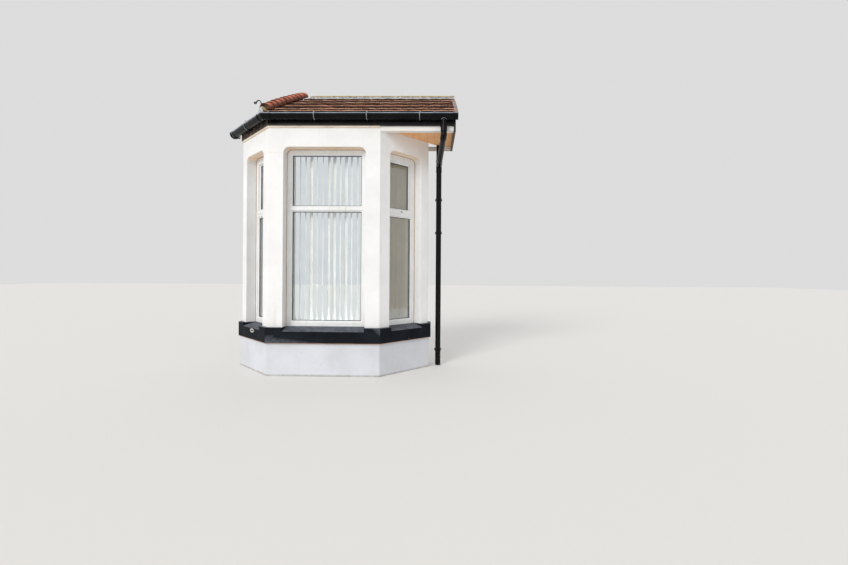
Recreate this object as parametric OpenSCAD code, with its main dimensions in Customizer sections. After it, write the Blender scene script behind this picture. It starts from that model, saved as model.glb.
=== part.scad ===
// A canted ground-floor bay window of an old terraced house, cut off at the house wall.
// X runs to the right and Y into the house, whose outer face is the plane Y = 0. Z is up
// from the ground. The origin is on that face, below the middle of the bay.

/* [Plan] */
// Width of the front face of the wall
front_w = 1410; // [1200:10:1800]
// Width that each canted side takes up, measured along the house wall
cant_run = 602; // [520:2:760]
// Angle between the front and each canted side
cant_angle = 45; // [40:1:50]
// Depth of the short returns that stand square on the house wall
return_d = 190; // [160:5:260]
// Thickness of the rendered brick wall
wall_t = 255; // [235:5:290]

/* [Levels] */
// Height of the plinth
plinth_h = 412; // [300:2:520]
// How far the plinth stands out from the piers
plinth_out = 20; // [10:1:40]
// Height of the stone cill, up to its seats under the piers
cill_h = 197; // [150:1:230]
// How much lower the cill's front edge is under each window
cill_fall = 47; // [25:1:60]
// How far the cill stands out from the piers
cill_out = 45; // [35:1:60]
// Height of the window openings
opening_h = 2281; // [2000:1:2500]
// Radius of the round upper corners of the openings
corner_r = 74; // [50:1:90]
// Height of the wall above the window heads
lintel_h = 240; // [180:1:300]

/* [Drip groove] */
// Width of the groove under the cill's nose
drip_w = 12; // [8:1:16]
// Depth of that groove
drip_h = 8; // [5:1:12]
// Distance of that groove from the cill's edge
drip_in = 12; // [8:1:16]

/* [Openings] */
// Width of the front window opening
front_open = 1040; // [800:10:1100]
// Width of a corner pier on its canted face
corner_cheek = 163; // [140:1:190]
// Width of a wall pier on its canted face
wall_cheek = 135; // [110:1:170]
// Depth of the reveal in front of the window frame
reveal_d = 132; // [100:2:140]

/* [Window frames] */
// Thickness of a frame, front to back
frame_t = 70; // [60:1:80]
// Width of a frame's flat face
frame_w = 54; // [45:1:65]
// Width of the sloping bead that holds the glass
bead_w = 18; // [14:1:24]
// Height of the transom's flat face
transom_h = 42; // [36:1:60]
// Height of the middle of the front window's transom above the cill's seats
front_transom_h = 1521; // [1200:1:1640]
// Height of the middle of the side windows' transoms above the cill's seats
side_transom_h = 1487; // [1200:1:1640]
// Thickness of a sealed glass unit
glass_t = 24; // [20:1:28]
// Depth of the glass in its groove
groove = 12; // [8:1:14]
// Thickness of a bead's nose against the glass
bead_nose = 4; // [2:0.5:6]
// Depth of a bead's outer edge behind the frame's face
bead_set = 6; // [2:0.5:10]
// Width of a top light's sash
sash_w = 66; // [56:1:76]
// How far a sash laps over its frame
sash_lap = 8; // [6:1:12]
// How far a sash stands out in front of its frame
sash_out = 8; // [5:1:12]
// How far a sash's back stays in front of its frame's back
sash_back = 4; // [2:1:8]
// Thickness of the inner window board
board_t = 25; // [18:1:32]
// How far that board stands into the room
board_out = 32; // [15:1:60]

/* [Blinds] */
// Width of a blind's upright vane
vane_w = 89; // [60:1:92]
// Thickness of a vane
vane_t = 1.6; // [1:0.1:3]
// Spacing of the vanes
vane_pitch = 76; // [60:1:90]
// Turn of the vanes away from flat
vane_turn = 58; // [20:1:70]
// Width of the head rail, front to back
rail_w = 44; // [36:1:50]
// Height of the head rail
rail_h = 38; // [28:1:50]
// Clear height between the vanes and the window board
vane_clear = 18; // [8:1:40]
// Length of the hanger that holds a vane under the rail
hanger_l = 12; // [8:1:20]
// Radius of that hanger
hanger_r = 3; // [2:0.5:5]
// Gap between the frame's back and the nearest corner of a vane
vane_gap = 14; // [6:1:24]
// Gap at each end of the head rail
rail_gap = 10; // [4:1:20]

/* [Floor and ceiling] */
// Thickness of the floor slab
slab_t = 150; // [100:5:200]
// Thickness of the floorboards
floor_board_t = 22; // [16:1:28]
// Thickness of the ceiling lining
ceiling_t = 16; // [10:1:22]
// Spacing of the ceiling joists
joist_pitch = 400; // [300:10:500]
// Width of a joist or rafter
joist_w = 47; // [38:1:60]

/* [Roof] */
// Pitch of the front slope
pitch = 31; // [29:0.5:33]
// Pitch of the left-hand slope, whose courses keep the levels of the front one's
left_pitch = 34; // [33.5:0.5:36]
// How far the tiles reach past the wall at the eaves
eaves_over = 78; // [70:1:90]
// Height of the tiles' top edge at the eaves above the top of the wall
eaves_rise = 190; // [180:1:220]
// Thickness of a roof tile
tile_t = 13; // [10:1:16]
// Spacing of the tile courses up the slope
tile_gauge = 108; // [90:1:125]
// Thickness of a batten
batten_t = 25; // [19:1:30]
// Width of a batten
batten_w = 38; // [30:1:50]
// Depth of a rafter
rafter_h = 100; // [75:1:110]
// Spacing of the rafters
rafter_pitch = 400; // [300:10:500]
// Place of the rafter next to the middle of the bay
rafter_x = -80; // [-160:5:0]
// Spacing of the rafters on the left-hand slope
left_rafter_pitch = 280; // [240:10:300]
// Distance of the first of those from the hip, along the canted face
left_rafter_x = 110; // [80:5:160]
// Width of the timber plate on top of the wall
plate_w = 100; // [80:1:120]
// Height of that plate
plate_h = 90; // [80:1:100]
// Distance of that plate from the face of the wall
plate_in = 10; // [5:1:20]
// Thickness of the ledger on the house wall
ledger_t = 45; // [35:1:60]
// Depth of that ledger
ledger_h = 120; // [90:1:130]
// Thickness of the hip rafter
hip_t = 38; // [30:1:50]
// Depth of the hip rafter
hip_h = 130; // [110:1:140]
// How far the roof runs on past the right-hand return, up to its plain end
right_reach = 343; // [300:1:450]

/* [Hip tiles] */
// Radius of a hip tile at its lower end
bonnet_r = 76; // [66:1:90]
// Depth of that tile's axis below the line of the hip
bonnet_sink = 10; // [6:1:20]
// Length of a hip tile
bonnet_l = 190; // [160:5:230]
// How far the lowest hip tile reaches past the foot of the hip
bonnet_past = 4; // [0:1:12]
// Gap between the top hip tile and the house wall
bonnet_gap = 20; // [10:1:30]

/* [Flashing] */
// Thickness of the lead
lead_t = 3; // [2:0.5:4]
// Width of the lead that lies on the tiles
apron_w = 115; // [80:5:150]
// Height of the lead that stands up against the wall
upstand_h = 20; // [8:1:40]
// Height of one step of the stepped lead
step_h = 75; // [60:1:90]

/* [Eaves] */
// Thickness of the fascia
fascia_t = 22; // [18:1:25]
// Thickness of the soffit boards
soffit_t = 18; // [12:1:22]
// Depth of the beam that carries the eaves past the right-hand cant
beam_w = 75; // [60:1:90]
// How far that beam hangs below the top of the wall
beam_drop = 40; // [25:1:60]
// Height of the trim where the soffit meets the house wall
trim_h = 60; // [40:1:80]
// Thickness of that trim
trim_t = 25; // [18:1:32]
// Thickness of the board on the plain end
end_t = 22; // [18:1:30]
// How far tiles and gutter reach past that board
end_over = 25; // [10:1:40]
// How far the fascia's foot stands in front of the strip under it
strip_back = 4; // [2:1:8]

/* [Gutter] */
// Outer radius of the gutter
gutter_r = 54; // [50:1:56]
// Straight height of the gutter above its half round
gutter_side = 17; // [10:1:24]
// Drop from the tiles' top edge to the gutter's rim
gutter_drop = 47; // [40:0.5:52]
// Wall thickness of gutter, pipes and fittings
plastic_t = 3; // [2:0.5:4]
// Width of a gutter bracket
bracket_w = 26; // [18:1:40]
// Place of the first gutter bracket, from the middle of the bay
bracket_x = -95; // [-200:5:0]
// Spacing of the three front gutter brackets
bracket_pitch = 652; // [500:2:700]
// Distance of the last bracket on the left from the gutter's end
last_bracket = 60; // [40:5:90]
// Length of each leg of the corner fitting
angle_leg = 80; // [50:1:100]
// How far the left-hand gutter runs on past the corner of the return
gutter_past = 95; // [60:5:100]

/* [Downpipe] */
// How far the gutter outlet is to the right of the downpipe
outlet_shift = 43; // [30:1:70]
// Length of the outlet fitting
outlet_l = 236; // [180:2:250]
// Outer radius of the pipes
pipe_r = 38; // [32:0.5:42]
// How far the downpipe stands past the right-hand return
pipe_past = 150; // [120:1:180]
// Distance of the downpipe's axis from the house wall
pipe_y = 75; // [60:1:95]
// Drop from the top of the wall to the bend of the offset pipe
neck_drop = 65; // [55:1:80]
// Radius of the offset pipe's bend
neck_r = 70; // [60:1:90]
// Fall of the offset pipe
neck_fall = 12; // [8:1:20]
// Length of the sockets
socket_l = 45; // [35:1:60]
// Height of the offset pipe's socket floor above its bend
seat_h = 20; // [12:1:24]
// How far a collar laps over the end of the bend
collar_lap = 6; // [4:0.5:8]
// Length of the branch's arm, from the downpipe's axis
arm_l = 105; // [90:1:130]
// Height of the branch's sleeve
branch_h = 170; // [150:1:200]
// How far the sleeve reaches below the arm's axis
branch_down = 90; // [70:1:110]
// Height of a pipe bracket
clip_h = 30; // [20:1:40]
// Thickness of a pipe bracket's band and wall plate
clip_t = 5; // [3:0.5:8]
// Width of the arm between band and wall plate
clip_arm = 24; // [16:1:36]
// Width of the wall plate
clip_plate = 100; // [80:1:120]
// Height of the lowest pipe bracket
clip_z1 = 210; // [150:5:400]
// Height of the middle pipe bracket
clip_z2 = 1885; // [1500:5:2000]
// Height of the top pipe bracket
clip_z3 = 2360; // [2200:5:2500]

/* [Hidden] */
$fn = 64;
cut = 1;                                   // how far a cutting shape runs past a face
far = 4000;                                // longer than anything here
mitre_gap = 0.3;                           // hairline joint where two lengths meet on the hip line
cill_top = plinth_h + cill_h;
cill_edge = cill_top - cill_fall;
head_z = cill_top + opening_h;
pier_top = head_z - corner_r;
wall_top = head_z + lintel_h;
front_transom = cill_top + front_transom_h;
side_transom = cill_top + side_transom_h;
cant_out = cant_run * tan(cant_angle);
cant_len = cant_run / cos(cant_angle);
bay_d = return_d + cant_out;
bay_w = front_w + 2 * cant_run;
end_x = bay_w / 2 + right_reach;
pipe_x = bay_w / 2 + pipe_past;
outlet_x = pipe_x + outlet_shift;
front_mitre = tan(cant_angle / 2);         // shift of a front corner for each unit of offset
return_mitre = tan((90 - cant_angle) / 2); // the same at a return's corner
side_open = cant_len - corner_cheek - wall_cheek;
side_mid = corner_cheek + side_open / 2;   // middle of a side window, from the front corner
frame_back = reveal_d + frame_t;
glass_at = (frame_t - glass_t) / 2;
blind_in = frame_back + vane_w / 2 * sin(vane_turn) + vane_gap;
tile_bed = 2 * tile_t / cos(pitch);        // heights measured straight up through the slope
batten_rise = batten_t / cos(pitch);
rafter_rise = rafter_h / cos(pitch);
course = tile_gauge * cos(pitch);
left_k = tan(pitch) / tan(left_pitch);     // run of the left-hand slope for a unit of the front one's
eaves_z = wall_top + eaves_rise;
plate_top = wall_top + plate_h;
gutter_mid = fascia_t + plastic_t + gutter_r;
gutter_z = eaves_z - gutter_drop - gutter_side;
clip_r = gutter_r + plastic_t;
outlet_y = -(bay_d + gutter_mid);
neck_z = wall_top - neck_drop;
neck_run = norm([pipe_x - outlet_x, -pipe_y - outlet_y]);
neck_heading = atan2(-pipe_y - outlet_y, pipe_x - outlet_x);
neck_turn = 90 - neck_fall;
leg_x = neck_r * (1 - cos(neck_turn));
leg_z = neck_z - neck_r * sin(neck_turn);
leg_l = (neck_run - leg_x) / cos(neck_fall);
branch_z = leg_z - (neck_run - leg_x) * tan(neck_fall);
socket_r = pipe_r + plastic_t;

// Corners of the plan, moved outward by d. Side is -1 on the left and 1 on the right.
function front_corner(side, d) = [side * (front_w / 2 + d * front_mitre), -(bay_d + d)];
function return_corner(side, d) = [side * (bay_w / 2 + d), -(return_d + d * return_mitre)];
function wall_corner(side, d) = [side * (bay_w / 2 + d), 0];

// A point on a canted side: x along its face from the front corner, and d outward.
function cant_point(side, x, d) = front_corner(side, 0)
    + x * [side * cos(cant_angle), sin(cant_angle)]
    + d * [side * sin(cant_angle), -cos(cant_angle)];

// Strips of the plan between the offsets outer and inner, with mitred ends.
function front_band(outer, inner) = [
    front_corner(-1, outer), front_corner(1, outer), front_corner(1, inner), front_corner(-1, inner)];
function side_band(side, outer, inner) = [
    front_corner(side, outer), return_corner(side, outer), wall_corner(side, outer),
    wall_corner(side, inner), return_corner(side, inner), front_corner(side, inner)];
function cant_band(side, outer, inner) = [
    front_corner(side, outer), return_corner(side, outer),
    return_corner(side, inner), front_corner(side, inner)];
function inside(d) = [
    wall_corner(-1, d), return_corner(-1, d), front_corner(-1, d),
    front_corner(1, d), return_corner(1, d), wall_corner(1, d)];

// Levels of the roof's layers at a distance d outside the wall: k is 1 or left_k.
function tile_z(d, k = 1) = eaves_z + (eaves_over - d) / k * tan(pitch);
function bed_z(d, k = 1) = tile_z(d, k) - tile_bed;
function rafter_z(d, k = 1) = bed_z(d, k) - batten_rise;

// Distance of a plan point outside the left-hand canted face.
function left_d(x, y) = -(x + front_w / 2) * sin(cant_angle) - (y + bay_d) * cos(cant_angle);

// The line of the hip in plan, from the eaves to the house wall, its point at a distance d outside
// the front wall, and the plan of each slope out to the offset d.
roof_run = bay_d + eaves_over;
hip_foot = front_corner(-1, eaves_over);
hip_wall = [hip_foot.x + roof_run * (left_k - cos(cant_angle)) / sin(cant_angle), 0];
hip_heading = atan2(-hip_foot.y, hip_wall.x - hip_foot.x);
function hip_point(d) = hip_wall + (hip_foot - hip_wall) * (bay_d + d) / roof_run;
function front_slope(d, x) = [hip_point(d), [x, -(bay_d + d)], [x, 0], hip_wall];
function left_slope(d) = [
    hip_point(eaves_over - (eaves_over - d) / left_k), hip_wall, wall_corner(-1, d), return_corner(-1, d)];

module slab(z, h, outline) translate([0, 0, z]) linear_extrude(h) polygon(outline);

// Sets its children at a window: x along the face, y inward from the face of the wall.
module at_front() translate([0, -bay_d, 0]) children();
module at_side(side) {
    middle = cant_point(side, side_mid, 0);
    translate([middle.x, middle.y, 0]) rotate(side * cant_angle) children();
}

// A prism whose profile has the points [distance outside the wall, level], along a face.
module front_run(x0, x1, profile) translate([x0, -bay_d, 0]) rotate([90, 0, 90])
    linear_extrude(x1 - x0) polygon([for (p = profile) [-p[0], p[1]]]);
module left_run(x0, x1, profile) {
    start = front_corner(-1, 0);
    translate([start.x, start.y, 0]) rotate(-cant_angle) translate([-x1, 0, 0]) rotate([90, 0, 90])
        linear_extrude(x1 - x0) polygon([for (p = profile) [-p[0], p[1]]]);
}

// Walls, cills and lintels
module plinth(outline) color("gainsboro") slab(0, plinth_h, outline);

module cill_block(outline, groove_outline) difference() {
    slab(plinth_h, cill_top - plinth_h, outline);
    slab(plinth_h - cut, drip_h + cut, groove_outline);
}
module weathering(w) {
    slope = (cill_top - cill_edge) / (reveal_d + cill_out);
    translate([-w / 2, 0, 0]) rotate([90, 0, 90]) linear_extrude(w) polygon([
        [reveal_d, cill_top], [reveal_d, cill_top + cut], [-cill_out - cut, cill_top + cut],
        [-cill_out - cut, cill_edge - slope * cut]]);
}
module cill_front() color("dimgray") difference() {
    cill_block(front_band(cill_out, -wall_t), front_band(cill_out - drip_in, cill_out - drip_in - drip_w));
    at_front() weathering(front_open);
}
module cill_side(side) color("dimgray") difference() {
    cill_block(side_band(side, cill_out, -wall_t),
        side_band(side, cill_out - drip_in, cill_out - drip_in - drip_w));
    at_side(side) weathering(side_open);
}

module pier(outline) color("white") slab(cill_top, pier_top - cill_top, outline);
module corner_pier(side) pier([
    [side * front_open / 2, -bay_d], front_corner(side, 0),
    cant_point(side, corner_cheek, 0), cant_point(side, corner_cheek, -wall_t),
    front_corner(side, -wall_t), [side * front_open / 2, wall_t - bay_d]]);
module wall_pier(side) pier([
    cant_point(side, cant_len - wall_cheek, 0), return_corner(side, 0), wall_corner(side, 0),
    wall_corner(side, -wall_t), return_corner(side, -wall_t),
    cant_point(side, cant_len - wall_cheek, -wall_t)]);

// The hole under a lintel has round corners outside and is square behind the frame's face.
module head_hole(w) {
    translate([0, reveal_d, 0]) rotate([90, 0, 0]) linear_extrude(reveal_d + cut) {
        translate([-w / 2, pier_top - cut]) square([w, cut]);
        translate([corner_r - w / 2, pier_top - cut]) square([w - 2 * corner_r, corner_r + cut]);
        intersection() {
            for (x = [corner_r - w / 2, w / 2 - corner_r]) translate([x, pier_top]) circle(corner_r);
            translate([-w / 2, pier_top - cut]) square([w, corner_r + cut]);
        }
    }
    translate([-w / 2, reveal_d - cut, pier_top - cut]) cube([w, wall_t - reveal_d + 2 * cut, cut]);
    translate([-w / 2, reveal_d, pier_top - cut]) cube([w, wall_t - reveal_d + cut, corner_r + cut]);
}
module lintel_front() color("white") difference() {
    slab(pier_top, wall_top - pier_top, front_band(0, -wall_t));
    at_front() head_hole(front_open);
}
module lintel_side(side) color("white") difference() {
    slab(pier_top, wall_top - pier_top, side_band(side, 0, -wall_t));
    at_side(side) head_hole(side_open);
}

// The hole of a light in a frame or sash, with its beads' slopes and the groove for the glass:
// [half width, depth behind the frame's face], for a hole of the half width r at that face
function light_profile(r) = [
    [r, -sash_out - cut], [r, bead_set], [r - bead_w, glass_at - bead_nose], [r - bead_w, glass_at],
    [r - bead_w + groove, glass_at], [r - bead_w + groove, glass_at + glass_t], [r - bead_w, glass_at + glass_t],
    [r - bead_w, glass_at + glass_t + bead_nose], [r, frame_t - bead_set], [r, frame_t + cut]];
function both_sides(points) = concat(points,
    [for (i = [len(points) - 1 : -1 : 0]) [-points[i][0], points[i][1]]]);
module light_hole(w, z0, z1) translate([0, 0, (z0 + z1) / 2]) intersection() {
    linear_extrude(z1 - z0 + 2 * cut, center = true) polygon(both_sides(light_profile(w / 2)));
    rotate([90, 0, 90]) linear_extrude(w + 2 * cut, center = true)
        polygon([for (p = both_sides(light_profile((z1 - z0) / 2))) [p[1], p[0]]]);
}
// The upper light of a side window is in a sash, and its hole in the frame is plain.
module window_frame(w, transom, top_fixed) color("white") translate([0, reveal_d, 0]) {
    inner_w = w - 2 * frame_w;
    upper = transom + transom_h / 2;
    difference() {
        translate([-w / 2, 0, cill_top]) cube([w, frame_t, opening_h]);
        light_hole(inner_w, cill_top + frame_w, transom - transom_h / 2);
        if (top_fixed) light_hole(inner_w, upper, head_z - frame_w);
        else translate([-inner_w / 2, -cut, upper]) cube([inner_w, frame_t + 2 * cut, head_z - frame_w - upper]);
    }
}
module glass_pane(w, z0, z1) color("lightblue")
    translate([-w / 2, reveal_d + glass_at, z0]) cube([w, glass_t, z1 - z0]);
module lights(w, transom, opening_top) {
    pane_w = w - 2 * (frame_w + bead_w - groove);
    edge = bead_w - groove;
    glass_pane(pane_w, cill_top + frame_w + edge, transom - transom_h / 2 - edge);
    if (opening_top) {
        rim = frame_w - sash_lap + sash_w - groove;
        glass_pane(w - 2 * rim, transom + transom_h / 2 - sash_lap + sash_w - groove, head_z - rim);
    } else {
        glass_pane(pane_w, transom + transom_h / 2 + edge, head_z - frame_w - edge);
    }
}
// A top light: its flange laps over the frame's face, and its body stands in the frame's opening.
module toplight(side) color("white") at_side(side) translate([0, reveal_d, 0]) {
    foot = side_transom + transom_h / 2 - sash_lap;
    top = head_z - frame_w + sash_lap;
    w = side_open - 2 * (frame_w - sash_lap);
    face = sash_w - bead_w;
    difference() {
        union() {
            translate([-w / 2, -sash_out, foot]) cube([w, sash_out, top - foot]);
            translate([sash_lap - w / 2, -cut, foot + sash_lap])
                cube([w - 2 * sash_lap, frame_t - sash_back + cut, top - foot - 2 * sash_lap]);
        }
        light_hole(w - 2 * face, foot + face, top - face);
    }
}

// Inside: window board, blinds, floor and ceiling
module window_board() color("white") {
    slab(cill_top, board_t, front_band(-wall_t, -wall_t - board_out));
    for (side = [-1, 1]) {
        slab(cill_top, board_t, side_band(side, -wall_t, -wall_t - board_out));
        at_side(side) board_tongue(side_open);
    }
    at_front() board_tongue(front_open);
}
module board_tongue(w) translate([-w / 2, frame_back, cill_top])
    cube([w, wall_t + cut - frame_back, board_t]);

module blind(w) color("ivory") {
    rail_l = w - 2 * rail_gap;
    count = floor((rail_l - vane_w * cos(vane_turn)) / vane_pitch);
    vane_z = cill_top + board_t + vane_clear;
    translate([-rail_l / 2, blind_in - rail_w / 2, head_z - rail_h]) cube([rail_l, rail_w, rail_h]);
    for (i = [0 : count]) translate([(i - count / 2) * vane_pitch, blind_in, 0]) {
        translate([0, 0, head_z - rail_h - 2 * hanger_l]) cylinder(h = 2 * hanger_l + cut, r = hanger_r);
        rotate(-vane_turn) translate([-vane_w / 2, -vane_t / 2, vane_z])
            cube([vane_w, vane_t, head_z - rail_h - hanger_l - vane_z]);
    }
}
module floor_slab() color("darkgray") slab(0, slab_t, inside(-wall_t));
module floor_boards() color("burlywood") slab(slab_t, floor_board_t, inside(-wall_t));
module ceiling() color("whitesmoke") slab(wall_top - ceiling_t, ceiling_t, inside(-wall_t));
module ceiling_joists() color("tan") intersection() {
    slab(wall_top, plate_h, inside(-plate_in - plate_w));
    for (i = [-2 : 2]) translate([i * joist_pitch - joist_w / 2, -bay_d, wall_top])
        cube([joist_w, bay_d, plate_h]);
}

// Roof carcass
module wall_plate() color("tan") {
    slab(wall_top, plate_h, front_band(-plate_in, -plate_in - plate_w));
    for (side = [-1, 1]) slab(wall_top, plate_h, side_band(side, -plate_in, -plate_in - plate_w));
}
function rafter_profile(k) = [
    [0, rafter_z(0, k)], [-bay_d, rafter_z(-bay_d, k)],
    [-bay_d, rafter_z(-bay_d, k) - rafter_rise], [0, rafter_z(0, k) - rafter_rise]];
module rafters() color("tan") difference() {
    union() {
        intersection() {
            for (i = [-1 : 5]) {
                x = min(rafter_x + i * rafter_pitch, end_x - end_t - joist_w);
                front_run(x, x + joist_w, rafter_profile(1));
            }
            slab(0, far, front_slope(0, end_x));
        }
        intersection() {
            for (i = [0 : 2]) {
                x = left_rafter_x + i * left_rafter_pitch;
                left_run(x, x + joist_w, rafter_profile(left_k));
            }
            slab(0, far, left_slope(0));
        }
    }
    wall_plate();
    upright_cut(hip_foot, hip_heading, hip_t);
    translate([-far, -ledger_t, 0]) cube([2 * far, ledger_t + cut, far]);
    slab(0, plate_top, [[front_w / 2, -bay_d], [end_x, -bay_d], [end_x, beam_w - bay_d],
        [front_w / 2, beam_w - bay_d]]);
}
// An upright cut of the width w along a line of the plan.
module upright_cut(start, heading, w) translate([start.x, start.y, 0]) rotate(heading)
    translate([-far / 2, -w / 2, 0]) cube([far, w, far]);
// The hip board stands on the line of the hip, lowered so that its top edges stay in the slopes.
module hip_board() {
    drop = hip_t / 2 * tan(left_pitch) * sin(hip_heading - 90 + cant_angle);
    start = hip_point(0);
    run = norm(hip_wall - start);
    top = [for (u = [-cut, run]) [u, rafter_z(-u * sin(hip_heading)) - drop]];
    translate([start.x, start.y, 0]) rotate(hip_heading) translate([0, hip_t / 2, 0])
        rotate([90, 0, 0]) linear_extrude(hip_t)
        polygon(concat(top, [[run, top[1][1] - hip_h / cos(pitch)], [-cut, top[0][1] - hip_h / cos(pitch)]]));
}
module hip_rafter() color("tan") difference() {
    intersection() {
        hip_board();
        slab(0, far, [wall_corner(-1, 0), return_corner(-1, 0), front_corner(-1, 0), front_corner(1, 0),
            [front_w / 2, -ledger_t], [-far, -ledger_t]]);
    }
    wall_plate();
    translate([-far, -ledger_t, 0]) cube([2 * far, ledger_t + cut, far]);
}
module wall_ledger() color("tan") {
    top = rafter_z(ledger_t - bay_d);
    low_x = -bay_w / 2;
    low = rafter_z(left_d(low_x, -ledger_t), left_k);
    rotate([90, 0, 0]) linear_extrude(ledger_t) polygon([
        [end_x - end_t, top], [hip_wall.x, top], [low_x, low], [low_x, low - ledger_h],
        [hip_wall.x, top - ledger_h], [end_x - end_t, top - ledger_h]]);
}
function batten_profile(i, k) = let (d = eaves_over - (eaves_over + i * course) * k, low = d - batten_w) [
    [d, bed_z(d, k)], [low, bed_z(low, k)],
    [low, bed_z(low, k) - batten_rise], [d, bed_z(d, k) - batten_rise]];
batten_count = floor((bay_d - batten_w) / course);
module battens() color("tan") difference() {
    union() {
        intersection() {
            for (i = [0 : batten_count]) front_run(-front_w, end_x - end_t, batten_profile(i, 1));
            slab(0, far, front_slope(0, end_x));
        }
        intersection() {
            for (i = [0 : batten_count]) left_run(-front_w, far, batten_profile(i, left_k));
            slab(0, far, left_slope(0));
        }
    }
    upright_cut(hip_foot, hip_heading, mitre_gap);
}

// Roof covering
course_count = ceil((bay_d + eaves_over) / course);
tile_drop = tile_t / cos(pitch);
function tile_profile(k) = concat(
    [for (i = [0 : course_count - 1], step = [0, 1])
        let (d = eaves_over - (i + step) * course * k) [d, tile_z(d, k) - step * tile_drop]],
    [let (d = eaves_over - course_count * course * k) [d, bed_z(d, k)], [eaves_over, bed_z(eaves_over)]]);
module tiles_front() color("sienna") intersection() {
    front_run(-front_w, end_x + end_over, tile_profile(1));
    slab(0, far, front_slope(eaves_over, end_x + end_over));
}
module tiles_left() color("sienna") intersection() {
    left_run(-front_w, far, tile_profile(left_k));
    slab(0, far, left_slope(eaves_over));
}
function under_tiles(k) = [[far, 0], [far, tile_z(far, k)], [-far, tile_z(-far, k)], [-far, 0]];
module hip_tiles() color("chocolate") {
    rise = atan(tan(pitch) * sin(hip_heading));
    run = norm(hip_wall - hip_foot) / cos(rise);
    spacing = run / course_count;
    taper = tile_t * bonnet_l / spacing;
    difference() {
        translate([hip_foot.x, hip_foot.y, eaves_z]) rotate([0, -rise, hip_heading])
            for (i = [0 : course_count - 1])
                translate([i * spacing - bonnet_past, 0, -bonnet_sink]) rotate([0, 90, 0])
                    cylinder(h = i == course_count - 1 ? spacing : bonnet_l, r1 = bonnet_r, r2 = bonnet_r - taper);
        intersection() {
            front_run(-far, far, under_tiles(1));
            left_run(-far, far, under_tiles(left_k));
        }
        translate([-far, -bonnet_gap, 0]) cube([2 * far, far, far]);
    }
}
module wall_flashing() color("slategray") {
    side_gap = bonnet_r + 10;
    x0 = hip_wall.x + side_gap;
    wall_z = tile_z(-bay_d);
    front_run(x0, end_x + end_over, [
        [-bay_d, wall_z + upstand_h], [lead_t - bay_d, wall_z + upstand_h],
        [lead_t - bay_d, tile_z(lead_t - bay_d) + lead_t], [apron_w - bay_d, tile_z(apron_w - bay_d) + lead_t],
        [apron_w - bay_d, tile_z(apron_w - bay_d)], [-bay_d, wall_z]]);
    // The lead on the left-hand slope, and its steps up the courses of the wall
    low_x = -bay_w / 2 - eaves_over;
    high_x = hip_wall.x - side_gap;
    top_z = tile_z(-far, left_k);
    foot_z = tile_z(far, left_k);
    intersection() {
        left_run(-far, far, [[-far, top_z], [far, foot_z], [far, foot_z + lead_t], [-far, top_z + lead_t]]);
        slab(0, far, [[low_x, -apron_w], [high_x, -apron_w], [high_x, 0], [low_x, 0]]);
    }
    step_l = step_h / (tan(left_pitch) * sin(cant_angle));
    steps = ceil((high_x - low_x) / step_l);
    rotate([90, 0, 0]) linear_extrude(lead_t) intersection() {
        for (i = [0 : steps - 1]) {
            x = high_x - i * step_l;
            top = tile_z(left_d(x, 0), left_k) + upstand_h;
            polygon([[x, top], [x - step_l, top], [x - step_l, tile_z(left_d(x - step_l, 0), left_k)],
                [x, tile_z(left_d(x, 0), left_k)]]);
        }
        translate([low_x, 0]) square([high_x - low_x, far]);
    }
}

// Eaves
function fascia_profile(k) = [
    [0, wall_top + soffit_t], [fascia_t, wall_top + soffit_t], [fascia_t, bed_z(fascia_t, k)], [0, bed_z(0, k)]];
module fascia_front() color("black") intersection() {
    front_run(-front_w, end_x - end_t, fascia_profile(1));
    slab(0, far, [front_corner(-1, fascia_t), [end_x, -(bay_d + fascia_t)], [end_x, -bay_d], front_corner(-1, 0)]);
}
module fascia_left() color("black") intersection() {
    left_run(-front_w, far, fascia_profile(left_k));
    slab(0, far, cant_band(-1, fascia_t, 0));
}
module verge_board() color("black") intersection() {
    slab(wall_top + soffit_t, far, [return_corner(-1, fascia_t), wall_corner(-1, fascia_t),
        wall_corner(-1, 0), return_corner(-1, 0)]);
    left_run(-far, far, [[far, 0], [far, bed_z(far, left_k)], [-far, bed_z(-far, left_k)], [-far, 0]]);
}
module eaves_strip() color("wheat") {
    out = fascia_t - strip_back;
    slab(wall_top, soffit_t, [
        front_corner(-1, out), [front_w / 2, -(bay_d + out)], [front_w / 2, -bay_d],
        front_corner(1, -plate_in), front_corner(-1, -plate_in)]);
    slab(wall_top, soffit_t, side_band(-1, out, -plate_in));
}
module soffit_right() color("white") slab(wall_top, soffit_t, [
    [front_corner(1, 0).x + beam_w / tan(cant_angle), beam_w - bay_d], [end_x - end_t, beam_w - bay_d],
    [end_x - end_t, 0], wall_corner(1, 0), return_corner(1, 0)]);
module soffit_trim() color("white") translate([bay_w / 2, -trim_t, wall_top - trim_h])
    cube([end_x - end_t - bay_w / 2, trim_t, trim_h]);
module eaves_beam() color("white") slab(wall_top - beam_drop, plate_h + beam_drop, [
    front_corner(1, 0), [end_x - end_t, -bay_d], [end_x - end_t, beam_w - bay_d],
    [front_corner(1, 0).x + beam_w / tan(cant_angle), beam_w - bay_d]]);
module end_board() color("black") front_run(end_x - end_t, end_x, [
    [fascia_t, wall_top - trim_h], [fascia_t, bed_z(fascia_t)], [-bay_d, bed_z(-bay_d)], [-bay_d, wall_top - trim_h]]);

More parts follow.
